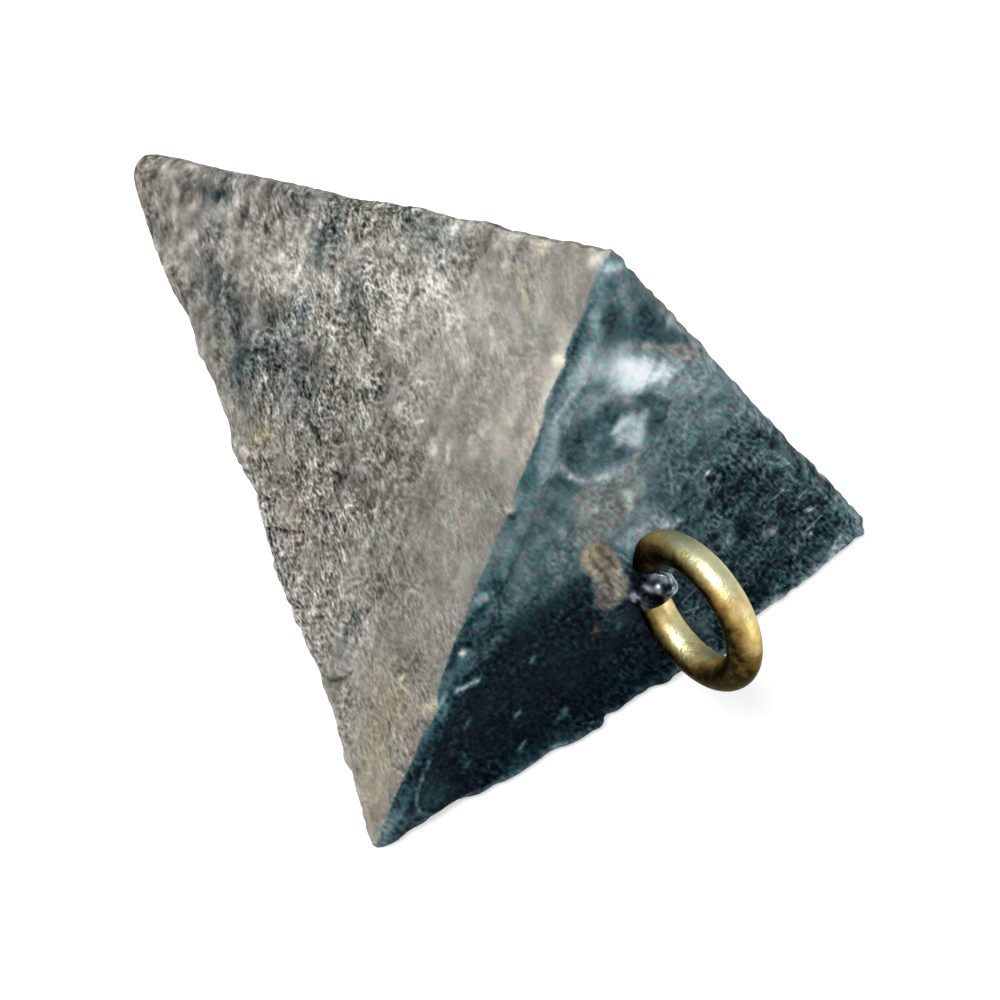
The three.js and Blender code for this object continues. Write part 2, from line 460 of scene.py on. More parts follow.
def paint(mesh, **layers):
    """Keeps values at the points of a mesh for its material."""
    for name, values in layers.items():
        attribute = mesh.attributes.new(name, "FLOAT", "POINT")
        attribute.data.foreach_set("value", np.asarray(values, np.float32))


def paint_place(mesh, points):
    """Keeps each point's hanging place, in millimetres, for the materials."""
    attribute = mesh.attributes.new("place", "FLOAT_VECTOR", "POINT")
    attribute.data.foreach_set("vector", np.asarray(points, np.float32).ravel())


def stroke_gap(across, along, start, end):
    """Distance to the segment between two places."""
    run = np.subtract(end, start)
    share = ((across - start[0]) * run[0] + (along - start[1]) * run[1]) / max(run @ run, 1e-9)
    share = np.clip(share, 0, 1)
    return np.hypot(across - start[0] - share * run[0], along - start[1] - share * run[1])


def lines_gap(across, along, lines):
    """Distance to the nearest of several lines, each a row of places."""
    gaps = []
    for line in lines:
        gaps.extend(stroke_gap(across, along, *ends) for ends in zip(line, line[1:]))
    return np.min(gaps, axis=0)


def brush(across, along, sway, marks):
    """Tone and warmth that soft, uneven marks add."""
    tone = np.zeros(len(across))
    warmth = np.zeros(len(across))
    for *ends, width, change, warmer in marks:
        stir = 0.32 * width
        gap = stroke_gap(across + stir * sway[0], along + stir * sway[1], ends[:2], ends[2:])
        cover = bump(gap, width)
        tone += change * cover
        warmth += warmer * cover
    return tone, warmth


def within(across, along, outline, soft):
    """1 inside an outline and 0 outside it, with a soft edge."""
    closed = (*outline, outline[0])
    inside = np.zeros(len(across), bool)
    for (x0, y0), (x1, y1) in zip(closed, closed[1:]):
        spans = (y0 > along) != (y1 > along)
        slope = (x1 - x0) / (y1 - y0) if y1 != y0 else 0.0
        inside ^= spans & (across < x0 + (along - y0) * slope)
    gap = lines_gap(across, along, [closed])
    return smooth(-soft, soft, np.where(inside, gap, -gap))


def from_edge(points, side):
    """How far inside one sharp edge of the base a point lies, seen from above."""
    return APOTHEM - points @ at_angle(SIDES[side], 1, 0)


def rim_gap(points):
    """Distance from the rim line, seen from above: below 0 inside it and above 0 outside."""
    corners = []
    for beside, beyond in ((RIGHT, LEFT), (LEFT, RESTING), (RESTING, RIGHT)):
        normals = np.array([at_angle(SIDES[side], 1, 0)[:2] for side in (beside, beyond)])
        reaches = [APOTHEM - RIM_LINE_INSETS[side] - RIM_CORNER_RADIUS for side in (beside, beyond)]
        corners.append(np.linalg.solve(normals, reaches))
    gap = lines_gap(points[:, 0], points[:, 1], [corners + corners[:1]])
    outside = np.max([
        RIM_LINE_INSETS[side] + RIM_CORNER_RADIUS - from_edge(points, side) for side in range(3)
    ], axis=0)
    return np.where(outside > 0, gap, -gap) - RIM_CORNER_RADIUS


def level_place(points, z):
    """Where slanted lines through points at heights z meet z = 0."""
    return points[:, 0] + SLANT[0] * z, points[:, 1] + SLANT[1] * z


def path_gap(points, path):
    """Distance from each point to the nearest place on a path."""
    return np.min([np.linalg.norm(points - place, axis=1) for place in path], axis=0)


def scar_place(points):
    """Distance from the middle of the pour scar, drawn uneven, and the direction from it."""
    x, y = points[:, 0] - SCAR_CENTRE[0], points[:, 1] - SCAR_CENTRE[1]
    uneven = 1 + 0.10 * layered_noise(points * (1, 1, 0), 4, 19, 3)
    return np.hypot(x, y) * uneven, np.arctan2(y, x)


def rough_part(points):
    """1 where the base is coarse, between the eye and corner C, and 0 elsewhere."""
    return smooth(2, 7, points[:, 0]) * (1 - smooth(3, 10, points[:, 1]))


def clumps(points):
    """Middling lumps of the cast surface, which show in its shape and in its tone."""
    return even_noise(points, (0.65, 1.3), 301)


def side_grain(points):
    """Strength of the finest, fine, middling and broad marks of the sides."""
    down = -points[:, 2] / math.cos(LEAN)
    across, _, out = on_side(points, SIDES[LEFT])
    calm = smooth(-1.5, -0.3, out) * smooth(3, 8, across)
    finest, fine, middling, broad = table(SIDE_GRAIN, down)
    edge_grain = 0.05 * calm * (1 - smooth(14, 24, down))
    patches = 1 + 0.45 * np.clip(1.6 * lattice_noise(points / 2.4, 331), -1, 1)
    finest, fine = (finest + 0.6 * edge_grain) * patches, (fine + edge_grain) * patches
    return finest, fine, middling * (1 - 0.4 * calm), broad


# Flakes and drops of lead on the base: x, y, height and size
FLAKES = (
    (-0.3, 5.8, 0.32, 0.5),
    (-3.2, 6.7, 0.22, 0.4),
    (-6.1, 6.5, 0.20, 0.45),
    (-10.3, 11.6, 0.25, 0.4),
    (-15.2, 1.4, 0.30, 0.32),
    (-15.0, -1.9, 0.15, 0.35),
    (-11.8, 2.9, 0.12, 0.6),
    (-13.2, 5.2, 0.12, 0.5),
    (-11.1, -7.9, 0.12, 0.25),
    (-7.2, -11.0, 0.14, 0.5),
    (0.1, 14.4, 0.16, 0.5),
    (13.0, -6.5, 0.14, 0.4),
    (16.7, -6.8, 0.12, 0.3),
)


def base_relief(points):
    """How far the metal of the base stands above the flat, in millimetres."""
    x, y = points[:, 0], points[:, 1]
    flat = points * (1, 1, 0)
    gap = rim_gap(points)
    uneven = layered_noise(flat, 3, 11, 2)
    relief = bump(gap, 0.2) * (0.07 + 0.05 * uneven)
    relief -= DISH_DEPTH * smooth(0, DISH_SLOPE, -gap)
    relief += 0.12 * layered_noise(flat, 7, 3, 2) * smooth(0.5, 2.5, -gap)
    relief += (0.022 + 0.045 * rough_part(points)) * clumps(flat)

    # Chipped, angular metal outside the rim line
    chips = np.round(1.5 * lattice_noise(flat / 1.1, 13)) / 1.5
    relief += 0.07 * smooth(0.1, 0.5, gap) * chips

    reach, around = scar_place(points)
    relief += (0.13 + 0.12 * np.cos(around + 2.5)) * bump(reach - SCAR_RADIUS, 0.5)
    relief -= 0.20 * (1 - smooth(SCAR_RADIUS - 1.1, SCAR_RADIUS, reach))
    relief += 0.26 * bump(np.hypot(x + 0.1, y - 12.1), 1.2)

    # Crest above the scar and the hollow beyond it, towards corner A
    rise = 0.528 * x + 0.849 * y
    window = smooth(-6.5, -3, x) * (1 - smooth(5, 8, x))
    relief += 0.36 * bump(rise - 13.7, 1.5) * window
    relief -= 0.36 * bump(rise - 18.0, 1.9) * window
    x, y = level_place(points, -DISH_DEPTH)
    for place_x, place_y, height, size in FLAKES:
        relief += height * bump(np.hypot(x - place_x, y - place_y), size)
    return relief


# Folds in the side that the eye is seen past, where the metal lapped over itself: across and down
FOLDS = (
    ((12.0, 29.2), (11.5, 28.2), (11.1, 27.5), (10.5, 26.5)),
    ((12.9, 26.4), (12.0, 24.8), (11.3, 23.2), (10.4, 21.9)),
    ((14.2, 24.5), (13.6, 23.3), (13.1, 22.6)),
    ((15.6, 20.4), (15.1, 19.0), (14.7, 18.5), (14.2, 17.8)),
    ((16.0, 18.7), (15.4, 17.3), (14.8, 16.6), (14.3, 16.2), (13.7, 15.9)),
    ((16.3, 17.3), (16.4, 16.6), (16.5, 16.0)),
    ((17.6, 14.2), (17.3, 12.8), (16.7, 12.1), (16.0, 11.3), (15.2, 10.8)),
)

# Fainter dark lines there
CREASES = (
    ((2.0, 31.6), (4.2, 31.7), (6.3, 30.2)),
    ((-4.0, 27.8), (1.0, 28.1), (4.0, 27.2), (5.6, 25.6)),
    ((-1.8, 20.9), (2.0, 20.5), (6.2, 20.3)),
    ((-2.4, 17.2), (3.0, 17.0), (8.0, 17.2), (11.0, 16.6)),
    ((4.6, 10.6), (8.4, 10.9), (11.0, 11.4)),
    ((-15.0, 18.4), (-13.6, 21.6)),
    ((11.7, 12.7), (12.9, 13.2)),
    ((15.2, 4.6), (16.0, 4.1)),
    ((16.6, 3.4), (17.2, 3.1)),
)

# Pale scratches: on that side, and on the base
SIDE_SCRATCHES = (
    ((9.8, 13.3), (10.0, 12.6), (10.3, 11.8)),
    ((8.4, 17.4), (8.7, 16.6), (9.2, 15.4)),
    ((8.2, 19.0), (8.6, 18.2)),
    ((4.0, 14.4), (5.2, 15.6)),
    ((-4.0, 12.9), (-3.4, 13.7)),
)
BASE_SCRATCHES = (
    ((12.2, 1.0), (12.9, 0.4), (13.6, -0.2), (14.4, -1.4), (14.8, -2.4), (15.4, -3.2)),
    ((13.6, 0.6), (15.0, -1.6)),
    ((16.0, -8.9), (17.9, -8.3)),
    ((16.3, -4.6), (15.6, -4.9)),
    ((12.2, -3.4), (14.0, -3.1)),
    ((-5.6, -13.2), (-4.4, -13.8)),
    ((4.2, -7.8), (5.6, -7.2)),
    ((4.6, -8.9), (6.2, -9.5)),
    ((-1.6, 1.4), (-1.0, 0.6), (-0.4, -0.4), (0.0, -1.2), (0.6, -2.0)),
)
PIT = (-3.7, 47.6)


def side_relief(points, side):
    """How far the metal of a side stands out of the flat, in millimetres."""
    across, down, _ = on_side(points, SIDES[side])
    seed = 60 + 10 * side
    relief = 0.12 * layered_noise(points, 9, seed, 2)
    relief += 0.30 * side_grain(points)[2] * clumps(points)
    if side == LEFT:
        pit = np.hypot(across - PIT[0], down - PIT[1])
        relief += 0.14 * bump(pit - 1.3, 0.4) - 0.45 * bump(pit, 0.9)
        relief -= 0.20 * bump(lines_gap(across, down, FOLDS), 0.22)
        relief -= 0.07 * bump(lines_gap(across, down, CREASES), 0.22)
    return relief


def worn_edges(points, outs):
    """The push out from the middle that wear gives to points near the long edges."""
    from_line = np.maximum(-np.sort(outs, axis=0)[1], 0)
    towards = np.array([at_angle(corner, 1, 0) for corner in CORNERS])
    nearest = np.argmax(points @ towards.T, axis=1)
    down = -points[:, 2] / math.cos(LEAN)
    edge_amount = np.choose(nearest, [table(shape, down)[0] for shape in EDGE_WEAR])
    edge_amount += 0.10 * layered_noise(points, 2.4, 91, 2)
    push = edge_amount * bump(from_line, 1.7)
    crest = np.maximum(from_line - 0.35, 0)
    push += 0.20 * even_noise(points, (0.6, 1.1), 95) * bump(crest, 0.6)
    return push[:, None] * towards[nearest]


def chipped_rim(points):
    """Small bites out of the edges between the base and its sides."""
    push = np.zeros_like(points)
    for side in (RIGHT, LEFT):
        near = bump(from_edge(points, side), 0.8) * smooth(-2.2, -1.0, points[:, 2])
        bites = 0.16 * even_noise(points, (0.8, 1.6), 105 + side)
        push += np.outer(near * bites, at_angle(SIDES[side], 1, 0))
    return push


def lead_casting():
    drop = hull(ball_points(DROP_CENTRE, DROP_RADIUS))
    ridge = hull(np.concatenate([ball_points(end, RIDGE_RADIUS, 60) for end in RIDGE_ENDS]))
    lead = remeshed("lead_body", [block(), collar(), coat(), drop, ridge, *lip_tubes()], REMESH_SIZE)
    mesh = lead.data
    points = read(mesh, "co")
    normals = read(mesh, "normal")
    outs = np.array([on_side(points, side)[2] for side in SIDES])
    nearest = np.argmax(outs, axis=0)
    upper = smooth(-1.2, -0.3, points[:, 2])
    raised = smooth(0.9, 1.5, points[:, 2])

    moved = points.copy()
    moved[:, 2] += upper * (1 - raised) * base_relief(points)
    for side in range(3):
        depth = side_relief(points, side)
        if side == RESTING:
            depth = np.minimum(0.35 * depth, 0.0)
        weight = (nearest == side) * (1 - upper) * smooth(-0.9, -0.2, outs[side])
        moved += np.outer(weight * depth, side_axes(SIDES[side])[2])
    moved += (1 - upper)[:, None] * worn_edges(points, outs) + chipped_rim(points)
    moved += normals * (raised * 0.03 * layered_noise(points, 1.2, 97, 1))[:, None]

    frame_points = to_frame(moved)
    frame_points[:, 2] = np.maximum(frame_points[:, 2], cad_low.z)
    write_points(mesh, frame_points)
    mesh.polygons.foreach_set("use_smooth", [True] * len(mesh.polygons))
    paint_place(mesh, moved)
    paint_lead(mesh, points, moved, outs)
    return lead


# Where the colour of the base ends on its bevel, from corner A to corner B
BASE_BORDER = (
    (-0.9, 28.2), (-2.3, 26.8), (-3.4, 24.4), (-4.9, 22.4), (-5.0, 21.1), (-6.8, 19.2), (-7.0, 17.9),
    (-8.0, 15.6), (-9.3, 13.8), (-10.1, 12.7), (-10.1, 11.4), (-11.8, 9.8), (-12.3, 8.8), (-13.6, 6.5),
    (-14.3, 5.4), (-14.8, 4.4), (-16.1, 2.4), (-16.6, 1.2), (-17.4, 0.0), (-17.8, -2.6), (-19.0, -3.8),
    (-20.4, -6.0), (-22.0, -8.0), (-24.0, -11.0), (-26.0, -20.0), (30.0, -20.0), (30.0, 32.0), (-0.9, 32.0),
)

# Areas of the base: outline, softness of its edge, tone and warmth
BASE_AREAS = (
    # Haze beside the painted highlight on the slope above the scar
    (((-5.2, 19.0), (-3.4, 21.4), (-2.4, 21.4), (-0.4, 19.4), (-2.4, 18.0), (-4.4, 18.2)), 0.7, 0.61, -0.6),
    # Painted shade in the hollow towards corner A, and the brown fringe of the slope below it
    (((-1.6, 23.6), (-0.7, 23.4), (-0.2, 22.2), (0.3, 21.4), (1.6, 22.2), (2.8, 20.6), (3.6, 19.2),
      (5.6, 16.6), (5.2, 16.2), (3.6, 17.6), (2.2, 18.6), (0.6, 19.6), (-0.6, 20.6), (-2.0, 21.6)),
     0.5, 0.25, 0.0),
    (((-0.8, 19.9), (0.4, 19.6), (2.2, 18.4), (3.6, 17.4), (5.0, 16.4), (6.4, 15.0), (6.6, 14.0),
      (5.0, 14.6), (4.0, 15.6), (2.6, 17.2), (0.6, 18.8)), 0.4, 0.54, 0.7),
    # Floor of the scar, and its upper part
    (((-5.7, 12.6), (-5.7, 16.2), (-4.8, 17.0), (-4.0, 17.4), (-2.4, 17.6), (-1.0, 16.4), (0.0, 15.2),
      (1.2, 14.4), (2.2, 12.4), (1.8, 10.4), (0.0, 9.4), (-2.6, 9.6), (-4.2, 10.4), (-5.2, 11.4)),
     0.35, 0.33, 0.05),
    (((-5.2, 15.4), (-5.0, 16.4), (-4.0, 17.1), (-2.6, 17.2), (-1.0, 16.0), (-2.6, 15.2)), 0.6, 0.48, -0.5),
    # Painted highlight on the slope above the scar, where its crest faces the light
    (((-2.8, 19.6), (-0.4, 19.2), (0.6, 18.6), (2.2, 17.1), (3.6, 15.9), (4.6, 14.4), (3.9, 13.9),
      (2.6, 14.1), (1.2, 14.6), (0.0, 15.2), (-1.2, 16.4), (-1.8, 17.4), (-2.6, 18.2)), 1.0, 0.77, -0.6),
    (((-0.5, 18.2), (0.8, 17.8), (1.9, 16.8), (1.8, 15.7), (0.8, 15.6), (-0.4, 16.8)), 0.9, 0.96, -0.1),
    (((2.0, 16.0), (3.4, 15.3), (4.0, 14.5), (3.4, 14.3), (2.0, 14.9)), 0.7, 0.92, 0.0),
    # Dark shape in the scar, and the painted highlight on the lump in its middle
    (((0.8, 14.4), (2.0, 14.0), (3.7, 12.2), (3.2, 11.0), (2.6, 10.8), (2.2, 11.4), (1.6, 12.8)), 0.3, 0.27, 0.1),
    (((-1.6, 12.6), (-0.8, 13.6), (0.4, 13.2), (1.4, 12.6), (1.7, 11.8), (0.9, 10.0), (-0.2, 10.4),
      (-1.3, 11.4)), 0.6, 0.76, -0.2),
    # Column left of the scar
    (((-7.2, 16.4), (-6.0, 17.0), (-6.0, 13.6), (-6.0, 12.4), (-7.6, 12.0), (-7.8, 14.4)), 0.4, 0.55, 0.0),
    # Paler, dull metal towards the eye and round its foot, and a warm olive smear beside it
    (((-5.0, 9.4), (0.4, 9.6), (1.0, 6.9), (0.1, 4.1), (-2.5, 3.2), (-5.2, 4.6)), 1.0, 0.56, 0.45),
    (((-2.6, 3.6), (1.0, 4.4), (3.4, 2.4), (4.2, 0.6), (2.4, -0.2), (-0.6, 0.2), (-2.0, 1.6)), 0.9, 0.50, 0.1),
    (((-4.8, 3.6), (-4.0, 4.1), (-3.0, 3.6), (-2.2, 2.2), (-1.4, 0.6), (-1.0, -0.6), (-2.2, -1.2),
      (-3.6, -0.8), (-4.2, 1.0), (-4.8, 2.2)), 0.45, 0.56, 1.3),
    (((-3.6, -0.2), (-1.4, -0.4), (-0.6, -1.6), (-0.5, -2.8), (-1.0, -3.6), (-2.0, -3.8), (-3.0, -3.6),
      (-3.8, -2.2)), 0.5, 0.44, 1.1),
    # Dull purple-grey metal near corner B
    (((-16.6, 0.6), (-15.0, 1.6), (-11.6, 1.2), (-12.4, 0.0), (-14.4, -0.8), (-16.4, -0.6)), 0.5, 0.26, 0.1),
)

# Marks on the base: x and y of both ends, half width, change of tone, change of warmth
BASE_MARKS = (
    # Corner A
    (-1.4, 27.0, -0.3, 26.2, 0.6, 0.34, -0.6),
    (-2.0, 27.8, -1.9, 27.7, 0.35, 0.25, 0.6),
    (-2.6, 24.0, -2.2, 22.0, 0.45, 0.20, 0.0),
    (0.0, 24.6, 0.4, 22.4, 0.4, 0.14, 0.0),
    # Rings round the slope and the scar
    (-6.0, 16.8, -4.6, 18.0, 0.35, 0.12, 0.0),
    (-4.6, 18.0, -3.4, 18.3, 0.35, 0.10, 0.0),
    (-5.8, 12.4, -5.2, 11.0, 0.25, 0.24, 0.0),
    (-5.2, 11.0, -4.2, 10.1, 0.25, 0.24, 0.0),
    (-4.0, 9.8, -2.6, 9.3, 0.3, 0.12, 0.0),
    (-2.6, 9.3, -0.8, 8.4, 0.3, 0.08, 0.0),
    (-6.2, 11.2, -5.4, 10.4, 0.5, -0.14, 0.0),
    (-0.2, 14.8, 0.4, 14.0, 0.35, 0.20, 0.6),
    (-17.2, -0.2, -16.8, -1.4, 0.8, 0.15, -0.2),
    (-19.4, -10.4, -18.6, -11.4, 0.8, 0.12, 0.0),
    (19.6, -7.6, 21.6, -9.6, 0.8, 0.16, 0.0),
    (2.4, 9.6, 3.0, 9.2, 0.3, 0.10, 0.0),
    (-9.2, 13.6, -8.4, 12.8, 0.7, -0.07, -0.2),
    (-7.6, 8.9, -6.8, 7.6, 0.35, 0.10, 0.0),
    (-10.9, 7.2, -10.4, 8.6, 0.5, 0.08, 0.0),
    # Painted shade in the crease, and pale nicks, along the edge A to B
    (-2.6, 24.6, -4.0, 22.4, 0.4, -0.10, 0.0),
    (-4.0, 22.4, -5.4, 20.2, 0.4, -0.12, 0.0),
    (-5.8, 19.6, -6.4, 18.4, 0.35, -0.14, 0.0),
    (-7.3, 17.0, -8.4, 14.6, 0.25, -0.10, 0.0),
    # Broad differences of tone
    (-3.4, 17.2, -1.2, 15.4, 0.8, 0.06, 0.0),
    (1.4, 14.8, 3.2, 13.2, 0.9, 0.07, 0.0),
    (-4.6, 12.2, -4.3, 14.6, 1.1, -0.05, 0.1),
    (-3.4, 9.0, -1.4, 7.4, 0.8, -0.10, 0.0),
    (-6.4, 3.2, -3.4, 4.4, 1.3, 0.07, 0.0),
    (-1.2, 1.2, -0.8, 0.9, 0.8, -0.16, 0.0),
    (-2.8, 1.6, -2.2, 0.4, 0.35, -0.10, 0.0),
    (-15.0, -1.6, -4.0, -2.4, 2.6, 0.0, -0.3),
    (-2.6, 12.0, -2.2, 14.6, 1.2, 0.0, -0.3),
    (-1.4, 9.0, -1.0, 9.4, 0.9, 0.0, -0.4),
    (-3.0, -5.0, -1.0, -5.0, 1.0, 0.07, 0.0),
    (-2.8, -1.2, -1.0, -1.4, 0.8, 0.06, 0.0),
    (-7.2, 16.0, -6.6, 14.0, 0.9, -0.06, 0.0),
    (-13.0, 3.0, -11.0, 3.0, 1.0, -0.06, 0.0),
    (-11.6, 8.0, -9.6, 12.0, 1.6, 0.0, 0.15),
    (-17.0, -1.0, -19.0, -5.0, 0.9, 0.06, 0.0),
    (-19.0, -9.0, -18.0, -11.0, 1.1, 0.07, 0.0),
    (-23.0, -9.0, -22.6, -9.6, 0.8, 0.10, 0.0),
    (14.8, -11.0, 15.2, -11.1, 1.0, -0.12, 0.0),
    (20.8, -11.2, 21.4, -11.4, 0.9, -0.16, 0.0),
    (18.8, -9.2, 20.4, -9.4, 1.0, 0.12, -0.4),
    (15.2, -13.0, 15.8, -13.0, 0.8, 0.12, 0.0),
    (16.8, -9.0, 13.0, -9.2, 0.9, 0.05, 0.0),
    (-11.4, -12.9, -6.6, -13.0, 0.7, 0.10, 0.0),
    (12.8, -5.2, 15.0, -3.0, 1.0, -0.06, 0.0),
    (8.4, 1.0, 11.4, 3.4, 1.4, -0.04, 0.0),
    (-10.7, 11.5, -10.1, 10.7, 0.3, -0.2, 0.0),
    (-10.4, 11.9, -10.1, 11.4, 0.35, 0.16, 0.7),
    (-12.2, 6.8, -11.6, 4.4, 0.6, -0.14, 0.0),
    (-14.8, 3.6, -13.2, 4.4, 0.5, -0.18, 0.0),
    (-15.8, 2.4, -14.6, 1.6, 0.4, -0.12, 0.0),
    (-18.6, -1.5, -18.4, -1.3, 0.4, 0.25, 0.8),
    (-18.0, -2.3, -17.2, -1.8, 0.35, 0.30, -0.5),
    (-17.0, -2.6, -17.4, -3.8, 0.3, 0.2, 0.0),
    (-21.6, -10.2, -20.4, -8.4, 0.6, 0.16, -0.3),
    # Flakes and spots
    (-0.6, 6.8, -0.1, 4.8, 0.35, 0.14, 0.2),
    # Painted shadow on the left of the flake above
    (-1.2, 6.0, -0.9, 5.0, 0.3, -0.14, 0.0),
    (-3.4, 6.9, -3.0, 6.5, 0.35, 0.16, 0.2),
    (-6.2, 6.8, -6.0, 6.2, 0.38, 0.22, 0.0),
    (-13.2, 5.3, -13.1, 5.1, 0.5, 0.16, 0.0),
    (-12.4, 3.4, -11.4, 2.4, 0.5, 0.10, 0.0),
    (-15.3, 1.5, -15.1, 1.3, 0.32, 0.70, 0.7),
    (-15.9, -1.8, -14.2, -2.1, 0.26, 0.55, -0.2),
    (-11.2, -8.0, -11.0, -7.9, 0.25, 0.42, 0.2),
    (-9.5, -3.7, -9.3, -3.5, 0.25, 0.30, 0.0),
    (-15.5, -5.7, -15.3, -5.5, 0.34, 0.18, 0.0),
    (-16.2, -8.8, -16.0, -8.6, 0.3, 0.18, 0.0),
    (-15.9, -9.7, -15.7, -9.5, 0.3, 0.28, 0.0),
    (-11.0, -11.5, -10.7, -11.3, 0.28, 0.38, 0.0),
    (-7.4, -11.1, -7.0, -10.9, 0.5, 0.26, -0.5),
    (-3.8, -4.9, -3.6, -4.8, 0.5, 0.08, 1.2),
    (6.8, 3.4, 7.0, 3.4, 0.2, 0.6, 0.0),
    (7.1, 12.7, 7.3, 13.5, 0.4, 0.12, 0.0),
    (3.7, 19.0, 3.9, 19.6, 0.35, 0.16, 0.0),
    (12.6, -6.4, 13.4, -6.6, 0.3, 0.22, 0.5),
    (16.3, -6.6, 17.0, -7.0, 0.16, 0.6, 0.0),
    (16.2, -2.4, 17.0, -3.6, 0.35, 0.16, 0.0),
    (16.7, -9.5, 16.9, -9.5, 0.25, 0.35, 0.0),
    # Streaks and paler metal round the foot of the eye, and a painted glint along the lead on its leg
    (-7.4, 4.6, -6.6, 2.0, 0.4, 0.08, 0.0),
    (-10.6, 3.6, -10.2, 2.4, 0.5, 0.08, 0.0),
    (-0.4, 2.4, 0.9, 2.0, 0.4, 0.16, -0.2),
    (2.5, 1.6, 3.0, 1.0, 0.35, 0.20, 0.0),
    (-4.0, 2.8, -3.1, 0.6, 0.15, -0.20, 0.0),
    (-3.4, 3.2, -2.4, 1.4, 0.13, -0.18, 0.0),
    (-3.0, 0.8, -2.0, -1.8, 0.16, -0.20, 0.0),
    (-2.3, 1.4, -1.6, -0.2, 0.13, -0.20, 0.0),
    (-2.2, -0.8, -1.5, -2.8, 0.14, 0.16, 0.0),
    (-3.2, -1.2, -2.6, -2.8, 0.14, -0.14, 0.0),
    (-4.4, 3.0, -4.2, 2.6, 0.3, 0.14, 0.2),
    (-1.6, -0.4, -1.4, -0.8, 0.3, 0.16, 0.0),
    (-1.5, 2.4, -0.5, 1.2, 0.4, 0.20, -1.0),
    (-2.6, -3.6, -1.6, -6.0, 0.6, 0.08, 0.2),
    # Painted glint along the lead on the leg of the eye
    (0.9, -2.6, 3.2, -3.8, 0.3, 0.30, 0.2),
)

